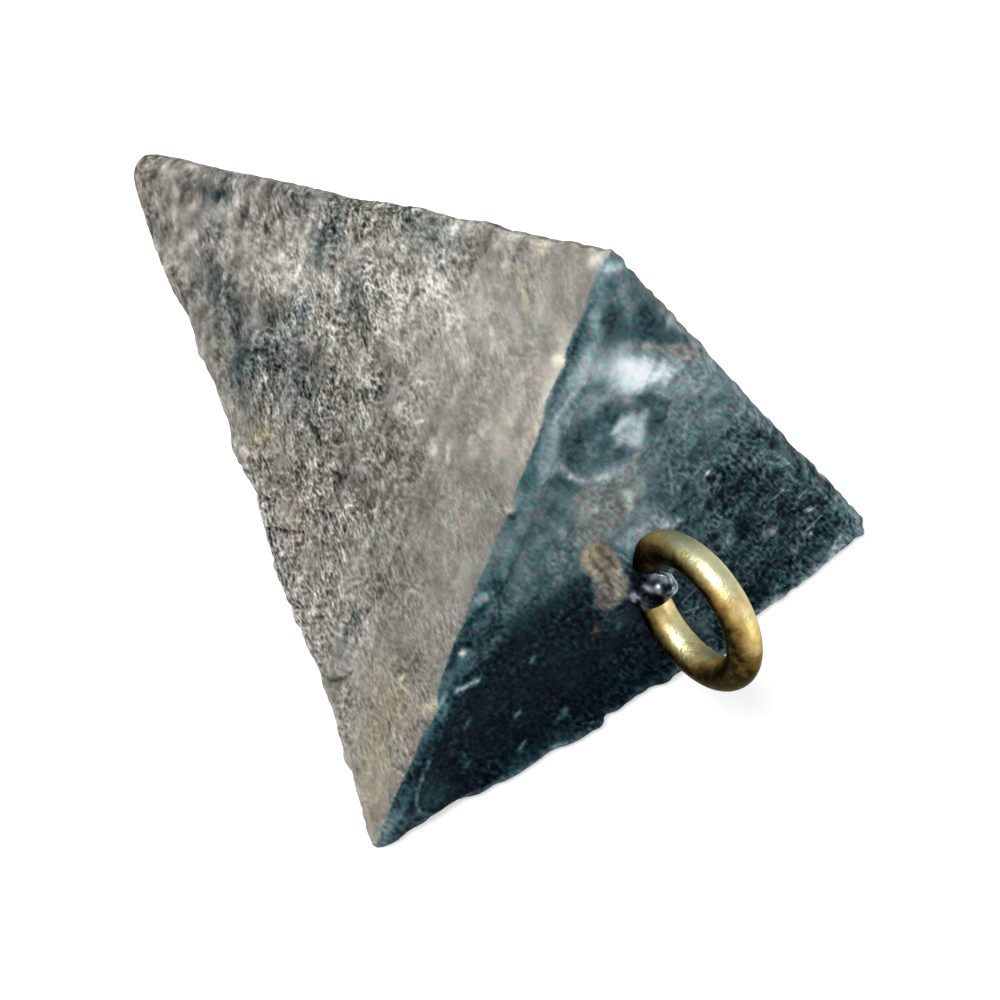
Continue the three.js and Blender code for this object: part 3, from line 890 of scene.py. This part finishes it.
# Marks on the side that the eye is seen past: across and down at both ends, then as above
SIDE_MARKS = (
    (15.6, 13.5, 16.2, 13.7, 1.4, 0.07, 0.0),
    (10.4, 16.3, 10.7, 16.8, 1.5, 0.07, 0.0),
    (-13.6, 13.5, -13.3, 19.6, 1.5, 0.05, 0.0),
    (-10.6, 22.3, -10.3, 22.7, 1.4, 0.06, 0.0),
    (-4.6, 7.3, -4.3, 7.7, 1.5, 0.08, 0.0),
    (-4.6, 25.3, -4.3, 25.6, 1.4, 0.09, 0.0),
    (-4.5, 22.2, -4.3, 22.6, 1.3, -0.07, 0.0),
    (-4.6, 40.3, -4.4, 40.7, 1.3, -0.07, 0.0),
    (-1.6, 43.2, -1.3, 43.8, 1.2, 0.08, 0.0),
    (-4.9, 49.4, -4.5, 50.2, 1.2, 0.07, 0.0),
    (4.4, 28.3, 4.7, 28.7, 1.4, -0.06, 0.0),
    (-17.0, 6.5, -9.0, 13.5, 4.6, 0.08, 0.0),
    (-13.0, 3.6, -7.6, 4.4, 2.0, 0.10, 0.1),
    (-16.4, 1.5, -7.6, 1.6, 0.9, 0.13, 0.1),
    (12.6, 1.2, 17.4, 1.0, 1.2, -0.05, 0.0),
    (18.4, 4.6, 19.8, 4.0, 1.4, 0.10, 0.0),
    (14.2, 12.4, 13.8, 19.0, 1.4, 0.08, 0.0),
    (7.2, 8.0, 7.8, 12.0, 1.6, -0.05, 0.0),
    (-4.7, 13.0, -4.2, 17.0, 1.6, -0.05, 0.0),
    (-4.8, 28.2, -4.2, 28.6, 1.3, -0.12, 0.0),
    (-4.9, 43.2, -4.3, 43.6, 1.0, -0.12, 0.0),
    (-1.8, 43.4, -1.2, 43.6, 0.9, 0.12, 0.0),
    (4.2, 43.0, 4.6, 43.8, 1.0, -0.12, 0.0),
    (1.4, 40.0, 1.6, 40.6, 1.2, -0.08, 0.0),
    (4.4, 37.0, 7.0, 37.6, 1.2, -0.06, 0.0),
    (-1.6, 49.0, -1.0, 56.0, 1.2, -0.05, 0.0),
    (-16.8, 16.4, -12.6, 20.2, 1.8, 0.08, 0.0),
    (-13.0, 12.6, -8.0, 16.0, 2.8, 0.08, 0.0),
    (-11.0, 18.0, -9.4, 24.0, 2.2, 0.13, 0.0),
    (-9.8, 27.4, -4.0, 28.0, 1.5, 0.05, 0.0),
    (-15.6, 17.4, -14.0, 23.0, 1.3, -0.09, -0.2),
    (-7.4, 25.4, -6.6, 25.8, 1.6, -0.11, -0.2),
    (-10.6, 30.8, -7.0, 31.6, 1.5, -0.10, -0.3),
    (-4.2, 31.8, -4.4, 35.6, 1.7, 0.18, 0.0),
    (-7.6, 34.0, -7.0, 34.4, 1.6, 0.09, 0.0),
    (-9.9, 36.6, -9.2, 37.6, 1.2, -0.12, -0.3),
    (-2.9, 31.0, -2.7, 31.2, 0.8, -0.30, -0.5),
    (-1.0, 30.6, 0.0, 34.0, 1.3, -0.08, -0.2),
    (1.9, 26.6, 2.6, 41.0, 2.0, -0.12, -0.2),
    (4.6, 36.2, 5.2, 36.8, 1.7, -0.12, -0.3),
    (3.4, 25.0, 5.6, 25.2, 1.7, -0.08, 0.0),
    (1.6, 43.4, 2.2, 45.6, 1.5, -0.09, -0.2),
    (-0.6, 40.6, -1.0, 44.6, 1.0, 0.05, 0.0),
    (-1.6, 18.2, 4.0, 19.4, 2.2, -0.05, 0.0),
    (5.6, 11.6, 7.6, 13.4, 2.6, -0.03, 0.0),
    (-1.0, 4.6, 6.0, 8.6, 3.0, 0.01, 0.0),
    (9.8, 4.4, 10.8, 4.2, 1.2, -0.05, 0.0),
    (10.6, 13.0, 16.0, 8.6, 2.6, 0.03, 0.0),
    (11.6, 12.6, 14.6, 12.4, 0.7, -0.10, -0.2),
    (14.0, 5.6, 19.4, 4.2, 3.0, 0.03, 0.3),
    (7.0, 30.6, 8.6, 31.4, 1.3, 0.05, 0.4),
    (9.4, 23.6, 11.0, 21.0, 1.6, 0.04, 0.2),
    # Painted shade in the pit, a painted highlight on its lower rim, and spots near the point
    (-4.4, 46.6, -3.4, 48.2, 1.0, -0.20, -0.3),
    (-2.4, 49.6, -2.0, 50.2, 0.7, 0.12, 0.1),
    (-1.8, 45.6, -1.4, 49.0, 0.8, -0.08, -0.1),
    (1.0, 48.6, 1.4, 52.0, 0.8, 0.09, 0.1),
    (3.2, 50.4, 3.8, 51.0, 1.1, 0.14, 0.1),
    (-1.8, 50.0, -1.5, 50.2, 0.45, 0.22, 0.1),
    (-4.2, 52.4, -3.8, 53.0, 0.6, 0.16, 0.2),
    (0.4, 57.6, 0.0, 62.0, 1.6, 0.05, 0.2),
    # Nicks, pale where they catch the light as painted highlights, and spots
    (-22.7, 0.4, -22.2, 1.0, 0.7, 0.20, -0.6),
    (-22.2, 1.8, -21.9, 2.3, 0.5, 0.26, 0.2),
    (-20.1, 7.2, -19.9, 7.9, 0.55, 0.22, 0.3),
    (-18.9, 11.4, -18.1, 12.4, 0.65, 0.20, 0.0),
    (-16.3, 17.2, -16.1, 17.3, 0.42, 0.34, 0.0),
    (-15.1, 1.4, -14.8, 2.0, 0.42, 0.22, 0.3),
    (-17.9, 9.0, -15.9, 6.8, 0.32, 0.13, 0.4),
    (-13.0, 9.6, -12.2, 8.6, 0.35, 0.10, 0.2),
    (-3.9, 9.4, -3.3, 9.0, 0.32, 0.20, 0.2),
    (-3.0, 10.6, -2.7, 11.6, 0.42, 0.16, 0.2),
    (-4.4, 15.6, -3.0, 16.0, 0.5, 0.13, 0.2),
    (-4.4, 0.5, -4.1, 0.9, 0.4, 0.20, 0.3),
    (1.1, 16.4, 1.4, 16.8, 0.32, 0.20, 0.0),
    (2.5, 17.2, 2.8, 18.6, 0.35, 0.18, 0.0),
    (7.0, 19.4, 7.1, 19.6, 0.22, 0.30, 0.0),
    (11.0, 1.0, 12.2, 1.7, 0.36, 0.24, 0.3),
    (11.7, 5.0, 11.9, 5.2, 0.2, 0.26, 0.2),
    (6.0, 23.0, 6.2, 24.2, 0.25, 0.16, 0.0),
)

# Painted highlight where light catches the rounded edge from the point to corner A: distance down it, and change
# of tone
RIDGE_HIGHLIGHT = ((0, 0.05), (3, 0.14), (8, 0.17), (20, 0.17), (40, 0.18), (64, 0.12))

# Tone that the metal outside the rim line adds, by place from corner B to corner C
LIP_TONES = (
    (-24, 0.24), (-19, 0.14), (-16, 0.14), (-13, 0.30), (-7, 0.34), (-5, 0.14), (4, 0.08), (9, 0.16),
    (11, 0.34), (15, 0.48), (18, 0.38), (20, 0.28), (24, 0.36),
)


def base_tones(points, places, sway):
    x, y = places
    coarse = rough_part(points)
    left = 0.085 + 0.31 * smooth(-1.8, 4.2 + 0.35 * np.maximum(-x - 6, 0), y) - 0.035 * smooth(-4, -8, y)
    right = 0.235 + 0.24 * smooth(0, 10, y) + 0.06 * smooth(9, 13, y) - 0.03 * smooth(-3, -8, y)
    tone = left + (right - left) * smooth(1, 6, x)
    warmth = 0.02 + 0.08 * smooth(0, 8, x)
    for outline, soft, area_tone, area_warmth in BASE_AREAS:
        cover = within(x + 0.3 * soft * sway[0], y + 0.3 * soft * sway[1], outline, 0.8 * soft)
        tone += cover * (area_tone - tone)
        warmth += cover * (area_warmth - warmth)
    change, warmer = brush(x, y, sway, BASE_MARKS)
    tone += change
    warmth += warmer

    # Clumps are stronger where the base is coarse, and little shows of them where it is dark
    strength = 0.4 + 0.6 * smooth(0.08, 0.3, tone)
    tone += strength * (0.065 + 0.055 * coarse) * clumps(points)
    tone += strength * (0.03 + 0.075 * coarse) * lattice_noise(points / 2.6, 311)

    # Dull metal on the bevel towards the side that is seen, near corner B
    edge = from_edge(points, LEFT)
    tone += 0.20 * (1 - smooth(0.0, 1.2, edge)) * smooth(2, -3, y)

    # Mottled metal along the edge C to A, and outside the rim line along the lip
    mottle = even_noise(points, (0.5, 1.0), 231)
    band = 1 - smooth(0.5, 1.9, from_edge(points, RIGHT) + 0.3 * mottle)
    tone += band * (0.04 + 0.09 * mottle) * (1 - smooth(8, 13, y))
    outside = smooth(-0.2, 0.3, rim_gap(points) + 0.15 * mottle)
    outside *= smooth(3.6, 2.4, from_edge(points, RESTING))
    tone += outside * (table(LIP_TONES, x)[0] + 0.07 * mottle)
    return tone, warmth


def side_tones(points, sway, across, down, shown):
    """Tones of the sides, with their own marks where shown is 1 and plain clouds elsewhere."""
    _, _, middling, broad = side_grain(points)
    change, warmer = brush(across, down, sway, SIDE_MARKS)
    clouds = layered_noise(points, 6.5, 141, 3)
    tone = 0.508 + shown * change + (1 - shown) * 0.07 * clouds
    tone += 0.8 * middling * clumps(points) + broad * lattice_noise(points / 2.6, 151)
    return tone, 0.88 + shown * warmer - (1 - shown) * 0.2 * clouds


def edge_tones(points, outs, shown):
    """Tone along the long edges: a painted highlight on the edge from the point to corner A, a pale band and a
    dark line along the lower edge that is seen, and wear along the others.
    """
    down = -points[:, 2] / math.cos(LEAN)
    uneven = even_noise(points, (0.6, 1.4), 161)
    ridge = -outs[RIGHT] / 0.9 + 0.25 * uneven
    foot = -outs[RESTING] / 0.9 + 0.25 * uneven
    # Painted highlight where light catches the rounded edge from the point to corner A
    edge_amount = table(RIDGE_HIGHLIGHT, down)[0] * (1 - smooth(0.35, 1.1, ridge)) * (1 + 0.4 * uneven)
    low = 0.09 * bump(foot - 0.9, 0.6) * (1 - smooth(28, 34, down)) - 0.08 * bump(foot, 0.25)
    others = 0.08 * bump(np.maximum(-np.sort(outs, axis=0)[1], 0), 0.5) * (1 + 0.5 * uneven)
    return shown * (edge_amount + low) + (1 - shown) * others


def lead_on_wire(points):
    """1 on the lead that crept up the leg, the drop and the ridge between them, and how much painted glint it
    has: silvery paint on the drop and the ridge stands in for their glints, kept dark in the drop's middle as
    painted shade.
    """
    coated = smooth(0.35, 0, path_gap(points, coat_path()) - COAT_RADIUS) * smooth(0.2, 0.6, points[:, 2])
    drop = smooth(0.4, 0, np.linalg.norm(points - DROP_CENTRE, axis=1) - DROP_RADIUS)
    crest = smooth(0.35, 0, path_gap(points, np.linspace(*RIDGE_ENDS, 5)) - RIDGE_RADIUS)
    rim = 1 - 0.8 * bump(np.linalg.norm(points - SHADED_PLACE, axis=1), 0.6)
    return np.max([coated, drop, crest], axis=0), np.maximum(drop * rim, crest)


def paint_lead(mesh, points, moved, outs):
    x, y, z = points.T
    places = level_place(moved, moved[:, 2])
    across, down, out = on_side(points, SIDES[LEFT])
    sway = [layered_noise(points, 1.1, 201, 3), layered_noise(points, 1.1, 211, 3)]
    facing_left = np.argmax(outs, axis=0) == LEFT

    # The base's colour reaches over its bevel, as far as its border on the side that is seen
    on_base = smooth(-1.05, -0.55, z + 0.2 * layered_noise(points, 1.4, 101, 3))
    bordered = within(places[0] + 0.15 * sway[0], places[1] + 0.15 * sway[1], BASE_BORDER, 0.15)
    on_base = np.where(facing_left, smooth(-2.4, -1.9, z), on_base)
    on_base = np.where(facing_left | (z > -0.3), on_base * bordered, on_base)
    shown = facing_left * smooth(-1.5, -0.3, out) * (1 - on_base)
    side_tone, side_warmth = side_tones(points, sway, across, down, shown)
    side_tone += edge_tones(points, outs, shown)
    base_tone, base_warmth = base_tones(points, places, sway)
    finest, fine, _, _ = side_grain(points)
    coarse = rough_part(points)
    patches = 1 + 0.4 * np.clip(1.6 * lattice_noise(points / 2.0, 341), -1, 1)
    calm = 0.4 * smooth(4, 9, y) * (1 - smooth(1, 6, x))
    base_finest = (0.05 + 0.05 * coarse) * patches * (1 - calm)
    base_fine = (0.095 + 0.06 * coarse) * patches * (1 - calm)
    nub, silver = lead_on_wire(points)

    uneven = 0.05 * even_noise(points, (0.4, 0.8), 321)
    folds = lines_gap(across, down, FOLDS) + uneven
    creases = lines_gap(across, down, CREASES) + uneven
    scratches = np.where(
        on_base > 0.3, lines_gap(*places, BASE_SCRATCHES), lines_gap(across, down, SIDE_SCRATCHES)
    )
    on_shown = np.maximum(shown, on_base) > 0.3
    ripples = shown * smooth(-6, 0, across) * smooth(6, 10, down) * (1 - smooth(22, 28, down))
    line = 0.15 + bump(np.hypot(x - 19.0, y + 9.5), 4.5) + 0.8 * bump(np.hypot(x + 19.0, y + 9.5), 4.5)
    line *= (0.7 + 0.5 * layered_noise(points, 1.2, 171, 2)) * (1 - smooth(-4, 2, y))
    paint(
        mesh,
        base=on_base,
        nub=nub,
        # Painted glints on the drop and the ridge
        silver=silver,
        tone=side_tone + (base_tone - side_tone) * on_base,
        warmth=side_warmth + (base_warmth - side_warmth) * on_base,
        finest=finest + (base_finest - finest) * on_base,
        fine=fine + (base_fine - fine) * on_base,
        # Strength of the painted glints of small facets on the base
        specks=(0.03 + 0.05 * coarse) * on_base,
        ripples=0.06 * ripples,
        fold=np.where(shown > 0.3, np.minimum(folds, 1), 1),
        crease=np.where(shown > 0.3, np.minimum(creases, 1), 1),
        scratch=np.where(on_shown, np.minimum(scratches, 1), 1),
        rim=np.clip(rim_gap(points), -1, 1),
        line=line * on_base,
    )


def brass_eye():
    path = wire_path()
    radii = WIRE_RADIUS * (1 + 0.012 * layered_noise(path, 2.5, 171, 2))
    points, faces = tube(path, radii, (1.0, 0, 0))
    points = np.array(points)
    eye = new_object("wire_eye", to_frame(points), faces)
    eye.data.polygons.foreach_set("use_smooth", [True] * len(eye.data.polygons))
    paint_place(eye.data, points)

    # Painted shade: darkest where the wire faces down as it lies, and where it meets the lead
    outwards = (points - np.repeat(path, WIRE_SIDES, axis=0)) / WIRE_RADIUS
    upwards = outwards @ np.array([0.2, math.cos(LEAN), math.sin(LEAN)])
    uneven = 0.12 * layered_noise(points, 2.0, 351, 2)
    foot = 1 - smooth(0.6, 3.0, points[:, 2])
    paint(eye.data, tarnish=1 - smooth(-0.15, 0.90, upwards + uneven) + 0.2 * foot)
    return eye


def colour(red, green, blue):
    """A colour written as sRGB, 0 to 255, as the shader's linear values."""
    values = []
    for part in (red, green, blue):
        share = part / 255
        values.append(share / 12.92 if share <= 0.04045 else ((share + 0.055) / 1.055) ** 2.4)
    return (*values, 1.0)


class Shader:
    """A material's nodes, with short calls for the few kinds that are used here."""

    def __init__(self, name):
        self.material = bpy.data.materials.new(name)
        self.material.use_nodes = True
        self.tree = self.material.node_tree
        self.surface = self.tree.nodes["Principled BSDF"]

    def put(self, socket, value):
        if isinstance(value, bpy.types.NodeSocket):
            self.tree.links.new(value, socket)
        else:
            socket.default_value = value

    def attribute(self, name, output="Fac"):
        node = self.tree.nodes.new("ShaderNodeAttribute")
        node.attribute_name = name
        return node.outputs[output]

    def drawn_out(self, vector, direction, length, width):
        """Coordinates for marks of one length along a direction and one width across it."""
        node = self.tree.nodes.new("ShaderNodeMapping")
        node.vector_type = "TEXTURE"
        self.put(node.inputs["Vector"], vector)
        turned = Vector(direction).to_track_quat("X", "Z").to_euler()
        node.inputs["Rotation"].default_value = turned
        node.inputs["Scale"].default_value = (length, width, width)
        return node.outputs["Vector"]

    def noise(self, vector, size=1.0, detail=3.0, roughness=0.6):
        node = self.tree.nodes.new("ShaderNodeTexNoise")
        self.put(node.inputs["Vector"], vector)
        node.inputs["Scale"].default_value = 1 / size
        node.inputs["Detail"].default_value = detail
        node.inputs["Roughness"].default_value = roughness
        return node.outputs["Fac"]

    def waves(self, vector, size=1.0, layers=1):
        """Noise about 0, as strong in each of its layers as lattice_noise."""
        plain = self.noise(vector, size, layers - 1, 0.95)
        return self.ramp(plain, 0.5, 0.5 + 0.35 / layers, clamp=False)

    def ramp(self, value, low, high, start=0.0, end=1.0, clamp=True):
        node = self.tree.nodes.new("ShaderNodeMapRange")
        node.clamp = clamp
        self.put(node.inputs["Value"], value)
        node.inputs["From Min"].default_value = low
        node.inputs["From Max"].default_value = high
        node.inputs["To Min"].default_value = start
        node.inputs["To Max"].default_value = end
        return node.outputs["Result"]

    def tones(self, value, *stops):
        """Colours along a tone: each stop is a tone and its red, green and blue."""
        node = self.tree.nodes.new("ShaderNodeValToRGB")
        self.put(node.inputs["Fac"], value)
        elements = node.color_ramp.elements
        while len(elements) < len(stops):
            elements.new(0.5)
        for element, (tone, *shade) in zip(elements, stops):
            element.position = tone
            element.color = colour(*shade)
        return node.outputs["Color"]

    def math(self, operation, first, second):
        node = self.tree.nodes.new("ShaderNodeMath")
        node.operation = operation
        self.put(node.inputs[0], first)
        self.put(node.inputs[1], second)
        return node.outputs["Value"]

    def add(self, first, *others):
        for other in others:
            first = self.math("ADD", first, other)
        return first

    def times(self, first, second):
        return self.math("MULTIPLY", first, second)

    def between(self, share, first, second):
        """A number that goes from the first to the second."""
        return self.add(first, self.times(share, self.math("SUBTRACT", second, first)))

    def mix(self, share, first, second, blend="MIX"):
        node = self.tree.nodes.new("ShaderNodeMix")
        node.data_type = "RGBA"
        node.blend_type = blend
        self.put(node.inputs["Factor"], share)
        self.put(node.inputs[6], first)
        self.put(node.inputs[7], second)
        return node.outputs[2]

    def bump(self, height, distance, normal=None):
        node = self.tree.nodes.new("ShaderNodeBump")
        self.put(node.inputs["Height"], height)
        node.inputs["Distance"].default_value = distance
        if normal is not None:
            self.put(node.inputs["Normal"], normal)
        return node.outputs["Normal"]


def lead_lines(s, place):
    """Tone of the thin marks: folds and creases are dark, scratches and the rim line are pale."""
    broken = s.ramp(s.noise(place, 0.7, 3, 0.7), 0.38, 0.58)
    partly = s.ramp(broken, 0, 1, 0.45, 1)
    folds = s.times(partly, s.ramp(s.attribute("fold"), 0.03, 0.2, -0.26, 0))
    creases = s.times(broken, s.ramp(s.attribute("crease"), 0.05, 0.22, -0.15, 0))
    scratches = s.times(partly, s.ramp(s.attribute("scratch"), 0.07, 0.18, 0.24, 0))
    from_rim = s.math("ABSOLUTE", s.attribute("rim"), 0)
    rim_line = s.times(s.ramp(from_rim, 0.07, 0.2, 0.30, 0), s.attribute("line"))
    return s.add(folds, creases, scratches, s.times(rim_line, partly))


def lead_material():
    s = Shader("cast_lead")
    place = s.attribute("place", "Vector")
    base = s.attribute("base")
    nub = s.attribute("nub")

    # Grain: crinkled in two directions on the sides, each in its own patches, and short on the base
    across, down, _ = side_axes(SIDES[LEFT])
    slope = Vector((-0.52, 0.85, 0))
    rising = s.waves(s.drawn_out(place, down - 0.4 * across, 0.72, 0.32))
    falling = s.waves(s.drawn_out(place, down + 0.35 * across, 0.66, 0.34))
    patches = s.ramp(s.noise(place, 3.0, 2, 0.5), 0.44, 0.56)
    short = s.waves(s.drawn_out(place, slope, 0.62, 0.34))
    crinkles = s.between(base, s.between(patches, rising, falling), short)
    side_dust = s.waves(s.drawn_out(place, down, 0.34, 0.21))
    dust = s.between(base, side_dust, s.waves(s.drawn_out(place, slope, 0.75, 0.2)))
    grain = s.add(s.times(s.attribute("fine"), crinkles), s.times(s.attribute("finest"), dust))
    ripple = s.waves(s.drawn_out(place, across + 0.03 * down, 6.0, 0.5))
    grain = s.add(grain, s.times(s.attribute("ripples"), ripple))
    # Bright specks on the base: painted glints of small facets
    specks = s.ramp(s.noise(place, 0.3, 1, 0.5), 0.60, 0.74, 0, 2.5)
    grain = s.add(grain, s.times(s.attribute("specks"), specks))

    # Cool blue-grey tones and warm grey-brown ones
    tone = s.add(s.attribute("tone"), grain, lead_lines(s, place))
    cool = s.tones(
        tone,
        (0.0, 0, 3, 5), (0.10, 14, 28, 33), (0.20, 33, 55, 63), (0.35, 70, 97, 103),
        (0.50, 112, 133, 140), (0.68, 161, 177, 184), (0.85, 207, 219, 226), (1.0, 240, 246, 250),
    )
    warm = s.tones(
        tone,
        (0.0, 6, 7, 6), (0.20, 53, 51, 47), (0.40, 108, 102, 94), (0.55, 147, 141, 132),
        (0.70, 185, 179, 169), (0.85, 223, 217, 208), (1.0, 246, 241, 233),
    )
    blush = s.waves(place, 0.4, 2)
    warmth = s.add(s.attribute("warmth"), s.times(blush, s.ramp(base, 0, 1, 0.12, 0.22)))
    finish = s.mix(s.ramp(warmth, 0, 1), cool, warm)
    ochre = s.ramp(warmth, 1.0, 1.9)
    flecks = s.ramp(s.noise(s.drawn_out(place, slope, 0.42, 0.26), 1, 1, 0.6), 0.36, 0.64)
    tint = s.mix(flecks, colour(216, 255, 238), colour(255, 222, 234))
    plain = s.times(s.ramp(tone, 0.6, 0.9, 1, 0.3), s.ramp(ochre, 0, 0.4, 1, 0.4))
    finish = s.mix(s.times(s.ramp(base, 0, 1, 0.5, 1), plain), finish, tint, "MULTIPLY")
    glaze = s.mix(flecks, colour(0, 17, 22), colour(9, 0, 8))
    finish = s.mix(s.times(base, s.ramp(warmth, 0.3, 1.1, 1, 0.2)), finish, glaze, "ADD")
    finish = s.mix(ochre, finish, colour(238, 244, 168), "MULTIPLY")

    # Smooth lead on the leg of the eye, painted near black for the dark surroundings it reflects, with painted
    # glints on the drop and the ridge beside it
    shine = s.add(s.noise(place, 1.1, 2, 0.5), s.times(s.attribute("silver"), 0.25))
    nub_painted_reflection = s.tones(shine, (0.46, 10, 15, 18), (0.60, 58, 66, 74), (0.80, 176, 184, 198))
    finish = s.mix(nub, finish, nub_painted_reflection)
    s.put(s.surface.inputs["Base Color"], finish)

    side_rough = s.ramp(crinkles, -1, 1, 0.5, 0.72)
    base_rough = s.ramp(crinkles, -1, 1, 0.4, 0.6)
    rough = s.between(base, side_rough, base_rough)
    s.put(s.surface.inputs["Roughness"], s.between(nub, rough, 0.2))
    metal = s.ramp(base, 0, 1, 0.3, 0.15)
    s.put(s.surface.inputs["Metallic"], s.between(nub, metal, 0.9))
    s.surface.inputs["Specular IOR Level"].default_value = 0.0

    relief = s.bump(s.times(s.noise(place, 0.9, 4, 0.65), s.ramp(nub, 0, 1, 1, 0)), 0.00010)
    relief = s.bump(s.times(grain, s.ramp(nub, 0, 1, 1, 0)), 0.0004, relief)
    s.put(s.surface.inputs["Normal"], relief)
    return s.material


def brass_material():
    s = Shader("tarnished_brass")
    place = s.attribute("place", "Vector")
    drawn = s.noise(s.drawn_out(place, (0, 1, 0), 1.2, 0.3), detail=3)
    # Colours along the painted shade: pale where the wire faces up, dark brown where it faces down and at the
    # lead
    tarnish = s.add(s.attribute("tarnish"), s.ramp(s.noise(place, 0.8, 3, 0.6), 0.35, 0.65, -0.1, 0.1))
    green = s.tones(
        tarnish, (0.0, 226, 224, 182), (0.35, 176, 162, 108), (0.65, 98, 86, 50), (1.0, 12, 9, 4),
    )
    yellow = s.tones(
        tarnish, (0.0, 234, 216, 160), (0.35, 202, 170, 100), (0.65, 116, 90, 46), (1.0, 14, 10, 4),
    )
    metal = s.mix(s.ramp(s.noise(place, 2.0, 1, 0.5), 0.42, 0.58), green, yellow)
    s.put(s.surface.inputs["Base Color"], metal)
    s.put(s.surface.inputs["Roughness"], s.ramp(drawn, 0.3, 0.7, 0.36, 0.5))
    s.surface.inputs["Specular Tint"].default_value = (0.6, 0.55, 0.4, 1)
    s.surface.inputs["Metallic"].default_value = 0.9
    s.put(s.surface.inputs["Normal"], s.bump(drawn, 0.00005))
    return s.material


def stage_material(name, shade, lift):
    """A pale surface that the camera sees as nearly white, and that still takes a shadow."""
    s = Shader(name)
    s.surface.inputs["Base Color"].default_value = (shade, shade, shade, 1)
    s.surface.inputs["Roughness"].default_value = 0.9
    s.surface.inputs["Specular IOR Level"].default_value = 0.0
    s.surface.inputs["Emission Color"].default_value = (1, 1, 1, 1)
    rays = s.tree.nodes.new("ShaderNodeLightPath")
    seen = s.math("MAXIMUM", rays.outputs["Is Camera Ray"], rays.outputs["Is Glossy Ray"])
    s.put(s.surface.inputs["Emission Strength"], s.math("MULTIPLY", seen, lift))
    return s.material


def floor():
    half = 3.0
    made = new_object("floor", [(-half, -half, 0), (half, -half, 0), (half, half, 0), (-half, half, 0)],
                      [[0, 1, 2, 3]])
    made.location.z = cad_low.z - 0.00002
    made.data.materials.append(stage_material("pale_floor", 0.8, 0.42))


def world():
    made = bpy.data.worlds.new("studio")
    made.use_nodes = True
    background = made.node_tree.nodes["Background"]
    background.inputs["Color"].default_value = (1, 1, 1, 1)
    background.inputs["Strength"].default_value = 0.55
    bpy.context.scene.world = made


def lamp(name, place, aim, power, size):
    data = bpy.data.lights.new(name, "AREA")
    data.energy = power
    data.size = size
    made = bpy.data.objects.new(name, data)
    bpy.context.scene.collection.objects.link(made)
    made.location = place
    made.rotation_mode = "QUATERNION"
    made.rotation_quaternion = (Vector(aim) - Vector(place)).to_track_quat("-Z", "Y")


def camera():
    azimuth, elevation = CAMERA_AZIMUTH, CAMERA_ELEVATION
    back = Vector((
        math.sin(azimuth) * math.cos(elevation),
        -math.cos(azimuth) * math.cos(elevation),
        math.sin(elevation),
    ))
    data = bpy.data.cameras.new("camera")
    data.sensor_width = 36
    data.lens = data.sensor_width / 2 / math.tan(FIELD_OF_VIEW / 2)
    data.clip_start = 0.01
    made = bpy.data.objects.new("camera", data)
    bpy.context.scene.collection.objects.link(made)
    made.location = Vector(CAMERA_AIM) * MM + back * CAMERA_DISTANCE * MM
    turned = (-back).to_track_quat("-Z", "Y").to_matrix() @ Matrix.Rotation(CAMERA_ROLL, 3, "Z")
    made.rotation_mode = "QUATERNION"
    made.rotation_quaternion = turned.to_quaternion()
    bpy.context.scene.camera = made


camera()
world()
floor()
lamp("key", (-0.38, -0.02, 0.75), (0, 0, 0.01), 5.5, 0.4)
lamp("fill", (0.4, -0.7, 0.15), (0, 0, 0.01), 1.3, 0.4)

lead = lead_casting()
lead.data.materials.clear()
lead.data.materials.append(lead_material())
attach(lead, "root")
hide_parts("lead_casting")

eye = brass_eye()
eye.data.materials.append(brass_material())
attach(eye, "root")
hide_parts("brass_eye")

bpy.context.scene.view_settings.view_transform = "Standard"
